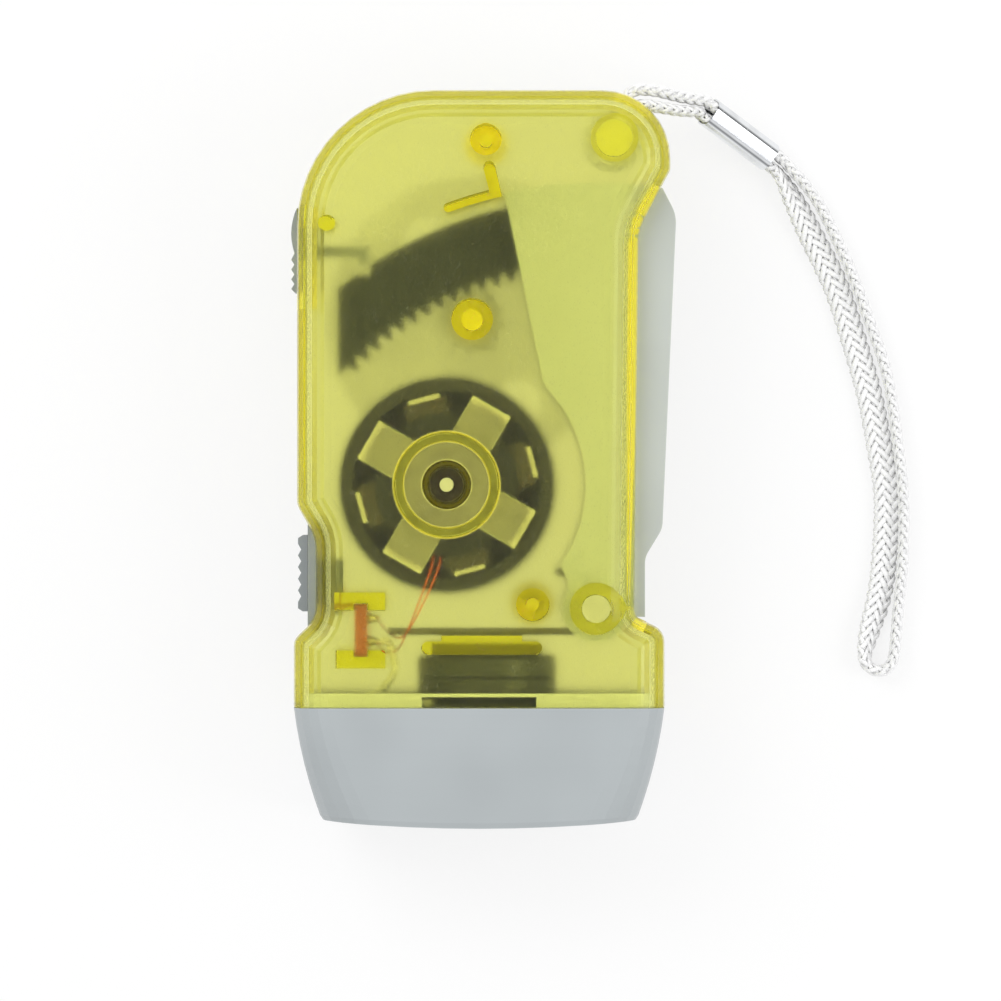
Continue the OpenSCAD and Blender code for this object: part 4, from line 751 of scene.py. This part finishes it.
# %% How strongly an end catches light
END_DEPTH, LEVEL_ENOUGH = 3.2, 0.9
SEAM, SEAM_GAP = 15, 0.8
RIM_IN, RIM_STEP, RIM_RAYS, RIM_OPEN = 0.4, 0.02, 16, 5
RIM_SHARE, CORNER_SHARE, BRACKET_SHARE, PIVOT_SHARE = 0.5, 0.35, 0.25, 0.3
BEARING_ROOM, POST_ROOM = 9, 5
BRACKETS_AT = (-14, -15)


def on_rim(tree, p):
    """Whether a face at the seam ends the outer wall, and not a post or rib."""
    if abs(p.center.z - SEAM * MM) > SEAM_GAP * MM:
        return False
    spot, open_ways = p.center - p.normal * RIM_IN * MM, 0
    for k in range(RIM_RAYS):
        angle = 2 * math.pi * k / RIM_RAYS
        way = Vector((math.cos(angle), math.sin(angle), 0))
        leaves_at = tree.ray_cast(spot, way)[0]
        if leaves_at is not None and tree.ray_cast(leaves_at + way * RIM_STEP * MM, way)[0] is None:
            open_ways += 1
    return open_ways >= RIM_OPEN


def end_share(tree, p):
    """How strongly the end of a rib, post or wall catches light, from 0 to 1."""
    if off_axis(p.center, PIVOT) < POST_ROOM:
        return PIVOT_SHARE
    if on_rim(tree, p):
        return RIM_SHARE
    if off_axis(p.center, POST.xy) < POST_ROOM:
        return CORNER_SHARE
    if p.center.x < BRACKETS_AT[0] * MM:
        return BRACKET_SHARE if p.center.y < BRACKETS_AT[1] * MM else CORNER_SHARE
    return 1.0


def is_end(tree, p):
    depth = tree.ray_cast(p.center - p.normal * RAY_START * MM, -p.normal)[3] or 0.0
    return abs(p.normal.z) > LEVEL_ENOUGH and depth > END_DEPTH * MM


print("share of the seam's rim:", RIM_SHARE)

# %% [markdown]
# ### Writing both numbers on the faces
# Face attributes keep the shapes as they are and travel with the mesh. The three mouldings are
# tested together, because a face inside the shell may look at the head cup. The bearing seat is
# left polished, as in the photograph, where the claws behind it stay sharp.

# %% Marking the faces
def mark_faces(names):
    verts, faces = [], []
    for name in names:
        mesh = nodes[name].data
        first = len(verts)
        verts += [v.co.copy() for v in mesh.vertices]
        faces += [[first + i for i in p.vertices] for p in mesh.polygons]
    tree = BVHTree.FromPolygons(verts, faces)
    for name in names:
        mesh = nodes[name].data
        inside, ends = [], []
        for p in mesh.polygons:
            frosted_side = looks_in(tree, p) and off_axis(p.center, GENERATOR) >= BEARING_ROOM
            inside.append(1.0 if frosted_side else 0.0)
            ends.append(end_share(tree, p) if frosted_side and is_end(tree, p) else 0.0)
        mesh.attributes.new("inside", "FLOAT", "FACE").data.foreach_set("value", inside)
        mesh.attributes.new("rib_end", "FLOAT", "FACE").data.foreach_set("value", ends)
        print(name, "inward faces:", int(sum(inside)), "rib ends:", int(sum(ends)), "of",
              len(inside))


mark_faces(["front_shell", "rear_shell", "head_cup"])

# %% [markdown]
# ### The yellow finish
# The frosted mask makes inward faces rough. The ends, and the rounded edges of the two rings
# round the bearing, are partly solid yellow and glow very slightly: a renderer that follows
# single rays hardly finds the light that runs inside the plastic, and this stands for it. Noise
# adds milky grains and the fine relief of the mould, and the dye is a volume.

# %% The yellow plastic
DYE = (0.997, 0.997, 0.6, 1)
DYE_DENSITY = 395.0
CLEAR, FROSTED, SOLID = 1.0, 0.99, 0.3
POLISHED, ERODED = 0.04, 0.34
EDGE_GLOW = 0.16
SPECKLE, SPECKLE_MM = 0.07, 0.17
FRONT_FACE = 29.2
RING_R, RING_T, TUBE_R = 7.6, 1.4, 3.1
RING_FADE = 0.1
LEVEL_FROM, LEVEL_TO = 0.5, 0.9
GRAIN_FROM, GRAIN_TO, GRAIN_STRETCH = 0.62, 0.74, (1, 0.5, 1)
MOULD_MM, MOULD_DEPTH_MM, MOULD_STRENGTH = 0.26, 0.009, 0.7
INSIDE_TONE, LIT_TONE = screen(249, 249, 200), screen(255, 240, 110)
RING_LINES = ((RING_R, 0.28, 0.9), (RING_R - RING_T, 0.24, 0.8), (TUBE_R, 0.8, 0.55))
yellow = Finish("yellow_clear_plastic", screen(252, 252, 220), 0.05, Transmission_Weight=1.0,
                IOR=1.26, Emission_Color=screen(255, 232, 40))
inside = yellow.add("ShaderNodeAttribute")
inside.attribute_name = "inside"
rib_end = yellow.add("ShaderNodeAttribute")
rib_end.attribute_name = "rib_end"
from_shaft = yellow.from_axis(*GENERATOR)
frosted = yellow.maths("MULTIPLY", inside.outputs["Fac"],
                       yellow.spread(from_shaft, (RING_R - RING_FADE) * MM,
                                     (RING_R + RING_FADE) * MM))
surface_way = yellow.add("ShaderNodeNewGeometry").outputs["Normal"]
upright = yellow.maths("ABSOLUTE", yellow.part(surface_way, "Z"))
level_face = yellow.spread(upright, LEVEL_FROM, LEVEL_TO)
bright = rib_end.outputs["Fac"]
under_face = yellow.maths("LESS_THAN", yellow.part(yellow.place, "Z"), FRONT_FACE * MM)
for radius, half_width, strength in RING_LINES:
    line = yellow.stripe(from_shaft, radius * MM, half_width * MM, strength)
    line = yellow.maths("MULTIPLY", yellow.maths("MULTIPLY", line, level_face), under_face)
    bright = yellow.maths("MAXIMUM", bright, line)
yellow.tone(inside.outputs["Fac"], INSIDE_TONE)
yellow.tone(bright, LIT_TONE)
yellow.roughness(frosted, POLISHED, ERODED)
grains = yellow.spread(yellow.noise(SPECKLE_MM, GRAIN_STRETCH, 1), GRAIN_FROM, GRAIN_TO, 0,
                       SPECKLE)
clear_share = yellow.maths("SUBTRACT", yellow.spread(frosted, 0, 1, CLEAR, FROSTED), grains)
clear_share = yellow.maths("SUBTRACT", clear_share,
                           yellow.spread(bright, 0, 1, 0, FROSTED - SOLID))
yellow.link(clear_share, yellow.bsdf.inputs["Transmission Weight"])
yellow.link(yellow.spread(bright, 0, 1, 0, EDGE_GLOW), yellow.bsdf.inputs["Emission Strength"])
dye = yellow.add("ShaderNodeVolumeAbsorption", Color=DYE, Density=DYE_DENSITY)
yellow.link(dye.outputs["Volume"], yellow.tree.nodes["Material Output"].inputs["Volume"])
yellow.relief(yellow.noise(MOULD_MM, GRAIN_STRETCH, 3), MOULD_DEPTH_MM, MOULD_STRENGTH)
give(yellow, "front_shell", "rear_shell")

# %% [markdown]
# ## Grey moulded plastic
# The head cup, lever, switch plate and sliders are grey ABS. Such a moulding has a fine matt
# grain, slightly lighter edges where it rubs against a pocket, and a faint change of tone
# across its face. Each of the three comes from its own mask. The cup's collar and the lever's
# inner part stand behind yellow plastic, where light gathered in the housing makes them look
# paler, so both get a painted lighter tone there that stands for that light.

# %% The greys
GREY_PATCH_MM, GREY_DARKER = 14, 0.93
RUBBED_MM, RUBBED_LIGHTER = 0.3, 1.16
GREY_GRAIN_MM, GREY_SHINE_MM, GREY_PLAY = 0.22, 0.4, 0.06


def grey_plastic(name, colour, rough):
    f = Finish(name, colour, rough, Specular_IOR_Level=0.4)
    f.tone(f.spread(f.noise(GREY_PATCH_MM, detail=1), 0.35, 0.7), tinted(colour, GREY_DARKER))
    f.tone(f.edges(RUBBED_MM), tinted(colour, RUBBED_LIGHTER))
    f.roughness(f.noise(GREY_SHINE_MM), rough - GREY_PLAY, rough + GREY_PLAY)
    f.relief(f.noise(GREY_GRAIN_MM, detail=3), 0.012, 0.5)
    return f


# Painted light: the collar and the lever's inner part get a lighter tone that stands for light
# gathered in the housing.
COLLAR_PAINTED_LIGHT_Y = (-35.7, -35.5)
LEVER_PAINTED_LIGHT_X = (22.5, 20.5)
head_grey = grey_plastic("grey_head_plastic", screen(168, 174, 176), 0.42)
head_grey.tone(head_grey.spread(head_grey.part(head_grey.place, "Y"),
                                *(y * MM for y in COLLAR_PAINTED_LIGHT_Y)), screen(222, 226, 224))
give(head_grey, "head_cup")
lever_grey = grey_plastic("grey_lever_plastic", screen(184, 189, 184), 0.46)
lever_grey.tone(lever_grey.spread(lever_grey.part(lever_grey.place, "X"),
                                  *(x * MM for x in LEVER_PAINTED_LIGHT_X)), screen(203, 208, 206))
give(lever_grey, "lever")
give(grey_plastic("grey_switch_plastic", screen(146, 151, 151), 0.44), "switch_plate",
     "lock_slider", "switch_slider")

# %% [markdown]
# ## Nylon and dark mouldings inside
# The toothed arc, the rotor cup, the coil former and the battery cradle are dark mouldings, and
# the step-up gear and drive pinion are natural nylon. Thin natural nylon lets most of the light
# through, and behind the frosted shell the gear is hardly seen, so both are mostly see-through
# with a rough surface that blurs.

# %% The inner mouldings
INNER_PATCH_MM, INNER_DARKER = 6, 0.86


def inner_plastic(name, colour, rough, grain_mm=0.3, **sockets):
    f = Finish(name, colour, rough, **sockets)
    f.tone(f.spread(f.noise(INNER_PATCH_MM), 0.4, 0.75), tinted(colour, INNER_DARKER))
    f.roughness(f.noise(grain_mm), rough - 0.05, rough + 0.08)
    f.relief(f.noise(grain_mm, detail=3), 0.01, 0.5)
    return f


DARK_NYLON = ("rotor_cup", "coil_former", "battery_holder")
give(inner_plastic("black_nylon", screen(10, 12, 8), 0.4), *DARK_NYLON)
give(inner_plastic("charcoal_nylon", screen(16, 22, 14), 0.45), "gear_sector")
nylon_depth = dict(Transmission_Weight=0.88, IOR=1.15)
give(inner_plastic("natural_nylon", screen(250, 250, 244), 0.55, **nylon_depth), "large_gear",
     "drive_pinion")
give(inner_plastic("ferrite_black", screen(52, 51, 50), 0.62, grain_mm=0.15), "magnet_ring")
give(inner_plastic("cell_sleeve_film", screen(64, 66, 56), 0.35), "battery_cells")

# %% [markdown]
# ## Metals
# Turned pins have fine rings round their axis, sheet steel for the claws has a dull zinc
# bloom, the spring is drawn wire and the ferrule is bright plated sheet. One function makes
# them all: noise stretched along the working direction gives the scratches. A second, coarser
# noise is the bloom, a slightly darker patch here and there. The claws get a painted highlight
# at the outer bend and along their edges, and the bush is painted darker close to the shaft.

# %% The metals
BLOOM_MM, BLOOM_DARKER = 2.5, 0.82
SMOOTHEST = 0.03


def metal(name, colour, rough, stretch=(1, 1, 1), grain_mm=0.4, depth_mm=0.004):
    f = Finish(name, colour, rough, Metallic=1.0)
    f.tone(f.spread(f.noise(BLOOM_MM), 0.4, 0.8), tinted(colour, BLOOM_DARKER))
    scratches = f.noise(grain_mm, stretch, 3)
    f.roughness(scratches, max(SMOOTHEST, rough - 0.06), rough + 0.1)
    f.relief(scratches, depth_mm, 0.6)
    return f


CLAW_HIGHLIGHT_R = (12, 13)
SHAFT_DARK_R = (2.9, 2.6)
give(metal("turned_steel", screen(222, 222, 218), 0.3, stretch=(1, 1, 6), depth_mm=0.001),
     "pivot_pin", "idler_axle", "rotor_shaft")
# Painted highlight: the claws are lighter at the outer bend and along their edges.
claws = metal("zinc_plated_claws", screen(166, 163, 146), 0.5)
claws.tone(claws.spread(claws.from_axis(*GENERATOR), *(r * MM for r in CLAW_HIGHLIGHT_R), 0, 0.7),
           screen(244, 240, 214))
claws.tone(claws.edges(0.35), screen(250, 248, 230))
give(claws, "stator_top_claws", "stator_bottom_claws")
give(metal("drawn_spring_wire", screen(122, 118, 96), 0.38), "return_spring")
# The bush is painted darker close to the shaft.
bush = metal("bush_darker_at_shaft", screen(196, 180, 104), 0.4)
bush.tone(bush.spread(bush.from_axis(*GENERATOR), *(r * MM for r in SHAFT_DARK_R)), screen(52, 44, 24))
give(bush, "shaft_bushes")
give(metal("brass_pinion", screen(204, 172, 100), 0.3), "flywheel_pinion", "switch_contact")
give(metal("plated_screws", screen(190, 188, 180), 0.32), "cross_head_screws")
give(metal("tinned_lamp_posts", screen(214, 214, 210), 0.25), "lamp_posts")
give(metal("enamelled_copper", screen(226, 106, 34), 0.3), "coil_leads", "coil_turns")
give(metal("soldered_terminals", screen(214, 206, 170), 0.28), "switch_terminals")

# %% [markdown]
# ### The ferrule's painted reflections
# Bright plating shows what stands round it, and round this one everything is white. So darker
# streaks along its length are painted on as reflections of a darker surround. They are stripes
# across the ferrule's own direction, so they stay on it from every side.

# %% The ferrule
ACROSS_FERRULE = (0.584, 0.812, 0)
PAINTED_REFLECTIONS = ((61.35, 0.32, (52, 53, 56)), (58.95, 0.3, (92, 94, 98)), (59.6, 0.5, (186, 188, 192)))
REFLECTION_SHARE = 0.9
ferrule = metal("bright_plated_ferrule", screen(236, 238, 240), 0.12, stretch=(4, 4, 1),
                grain_mm=0.5, depth_mm=0.003)
across = ferrule.vector_maths("DOT_PRODUCT", ferrule.place, ACROSS_FERRULE)
# Painted reflections: darker streaks along the ferrule stand for a darker surround in the plating.
for at, half_width, reflected_tone in PAINTED_REFLECTIONS:
    stripe = ferrule.stripe(across.outputs["Value"], at * MM, half_width * MM, REFLECTION_SHARE)
    ferrule.tone(stripe, screen(*reflected_tone))
give(ferrule, "strap_ferrule")

# %% [markdown]
# ## Lamps, lens, reflector and boards
# The lens is a clear plate, the lamps are clear epoxy and the reflector is a moulding with a
# vacuum-plated mirror skin. The switch board is brown paper laminate and the lamp board is
# green. A noise that is stretched one way gives both their faint fibres.

# %% Optics and boards
lens = Finish("clear_lens", screen(250, 252, 252), 0.02, Transmission_Weight=1.0, IOR=1.49)
lens.relief(lens.noise(3), 0.004, 0.4)
give(lens, "lens")
epoxy = Finish("lamp_epoxy", screen(244, 248, 250), 0.05, Transmission_Weight=1.0, IOR=1.53)
epoxy.relief(epoxy.noise(1.5), 0.006, 0.4)
give(epoxy, *LAMPS)
give(metal("mirror_skin", screen(232, 233, 234), 0.06, depth_mm=0.002), "reflector")


def laminate(name, colour, fibre):
    f = Finish(name, colour, 0.5)
    f.tone(f.spread(f.noise(0.5, (1, 8, 1), 3), 0.45, 0.7), fibre)
    f.relief(f.noise(0.4, (1, 6, 1), 3), 0.01, 0.5)
    return f


give(laminate("brown_laminate", screen(206, 110, 40), screen(172, 84, 30)), "switch_board")
give(laminate("green_laminate", screen(58, 110, 70), screen(44, 92, 58)), "led_board")

# %% [markdown]
# ## White wire and woven nylon
# The supply wire has soft ivory PVC. The strap's yarn is white nylon: each yarn is a bundle of
# shiny filaments, so it gets some sheen, a faint change of tone and a fine bump.

# %% Soft white finishes
pvc = Finish("ivory_wire_skin", screen(255, 253, 240), 0.42)
pvc.tone(pvc.spread(pvc.noise(2), 0.4, 0.7), screen(246, 242, 222))
pvc.relief(pvc.noise(0.3), 0.01, 0.4)
give(pvc, "switch_wire")
yarn = Finish("white_nylon_yarn", screen(243, 243, 243), 0.5, Sheen_Weight=0.3,
              Sheen_Roughness=0.4)
yarn.tone(yarn.spread(yarn.noise(0.5, detail=3), 0.5, 0.75), screen(226, 226, 227))
yarn.relief(yarn.noise(0.09, (1, 1, 1), 2), 0.03, 0.7)
give(yarn, "strap_braid", "strap_post_turn")

# %% [markdown]
# ## Light and floor
# The photograph has soft light from all sides on a white ground. A white world does most of
# the work, and two wide lamps add a little direction. A camera, a mirror and clear plastic see
# the world as plain white, and matt surfaces get slightly less, so that pale ones don't clip.

# %% The world
def is_seen(tree):
    path = tree.nodes.new("ShaderNodeLightPath")
    seen = path.outputs["Is Camera Ray"]
    for name in ("Is Glossy Ray", "Is Transmission Ray"):
        both = tree.nodes.new("ShaderNodeMath")
        both.operation = "MAXIMUM"
        tree.links.new(seen, both.inputs[0])
        tree.links.new(path.outputs[name], both.inputs[1])
        seen = both.outputs[0]
    return seen


SKY_SEEN, SKY_LIGHT = 1.0, 0.78
world = bpy.data.worlds.new("studio")
bpy.context.scene.world = world
world.use_nodes = True
sky = world.node_tree.nodes["Background"]
sky.inputs["Color"].default_value = (1, 1, 1, 1)
sky_level = world.node_tree.nodes.new("ShaderNodeMapRange")
sky_level.inputs["To Min"].default_value = SKY_LIGHT
sky_level.inputs["To Max"].default_value = SKY_SEEN
world.node_tree.links.new(is_seen(world.node_tree), sky_level.inputs["Value"])
world.node_tree.links.new(sky_level.outputs["Result"], sky.inputs["Strength"])
print("sky as seen and as light:", SKY_SEEN, SKY_LIGHT)

# %% [markdown]
# ### Two wide lamps
# Small lamps would draw hard shadows that the photograph doesn't have. Each of these is far
# larger than the torch and points at its middle.

# %% The lamps
def soft_lamp(name, place_mm, size_mm, watts):
    lamp = bpy.data.objects.new(name, bpy.data.lights.new(name, "AREA"))
    lamp.data.size, lamp.data.energy = size_mm * MM, watts
    lamp.location = Vector(place_mm) * MM
    lamp.rotation_mode = "QUATERNION"
    lamp.rotation_quaternion = (-lamp.location).to_track_quat("-Z", "Y")
    bpy.context.scene.collection.objects.link(lamp)
    return lamp


soft_lamp("lamp_upper_left", (-420, 380, 700), 500, 3.0)
soft_lamp("lamp_right", (560, -60, 520), 400, 1.6)

# %% [markdown]
# ### The floor
# The torch lies on white paper that runs out of the picture. Plain white paint would turn grey
# in soft light, so part of the floor's colour is its own light, but only for what is seen. The
# rest is matt paint, which keeps the soft shadow. Through the plastic it is a little dimmer,
# because the torch shades the paper under it.

# %% The floor
SEEN_SHARE, THROUGH_GLOW = 0.8, 0.84
FLOOR, FLOOR_DROP = 2.5, 0.02
floor_mesh = bpy.data.meshes.new("floor")
floor_mesh.from_pydata([(x * FLOOR, y * FLOOR, -FLOOR_DROP * MM) for x, y in
                        ((-1, -1), (1, -1), (1, 1), (-1, 1))], [], [(0, 1, 2, 3)])
floor = bpy.data.objects.new("floor", floor_mesh)
bpy.context.scene.collection.objects.link(floor)
paper = Finish("white_floor", (0.86, 0.86, 0.86, 1), 0.9)
glow = paper.add("ShaderNodeEmission")
glow.inputs["Color"].default_value = (1, 1, 1, 1)
through_path = paper.add("ShaderNodeLightPath").outputs["Is Transmission Ray"]
paper.link(paper.spread(through_path, 0, 1, 1.0, THROUGH_GLOW), glow.inputs["Strength"])
part_glow = paper.spread(is_seen(paper.tree), 0, 1, 0, SEEN_SHARE)
blend = paper.add("ShaderNodeMixShader")
paper.link(part_glow, blend.inputs[0])
paper.link(paper.bsdf.outputs["BSDF"], blend.inputs[1])
paper.link(glow.outputs["Emission"], blend.inputs[2])
paper.link(blend.outputs["Shader"], paper.tree.nodes["Material Output"].inputs["Surface"])
floor.data.materials.append(paper.mat)
print("floor is", FLOOR * 2, "m wide")
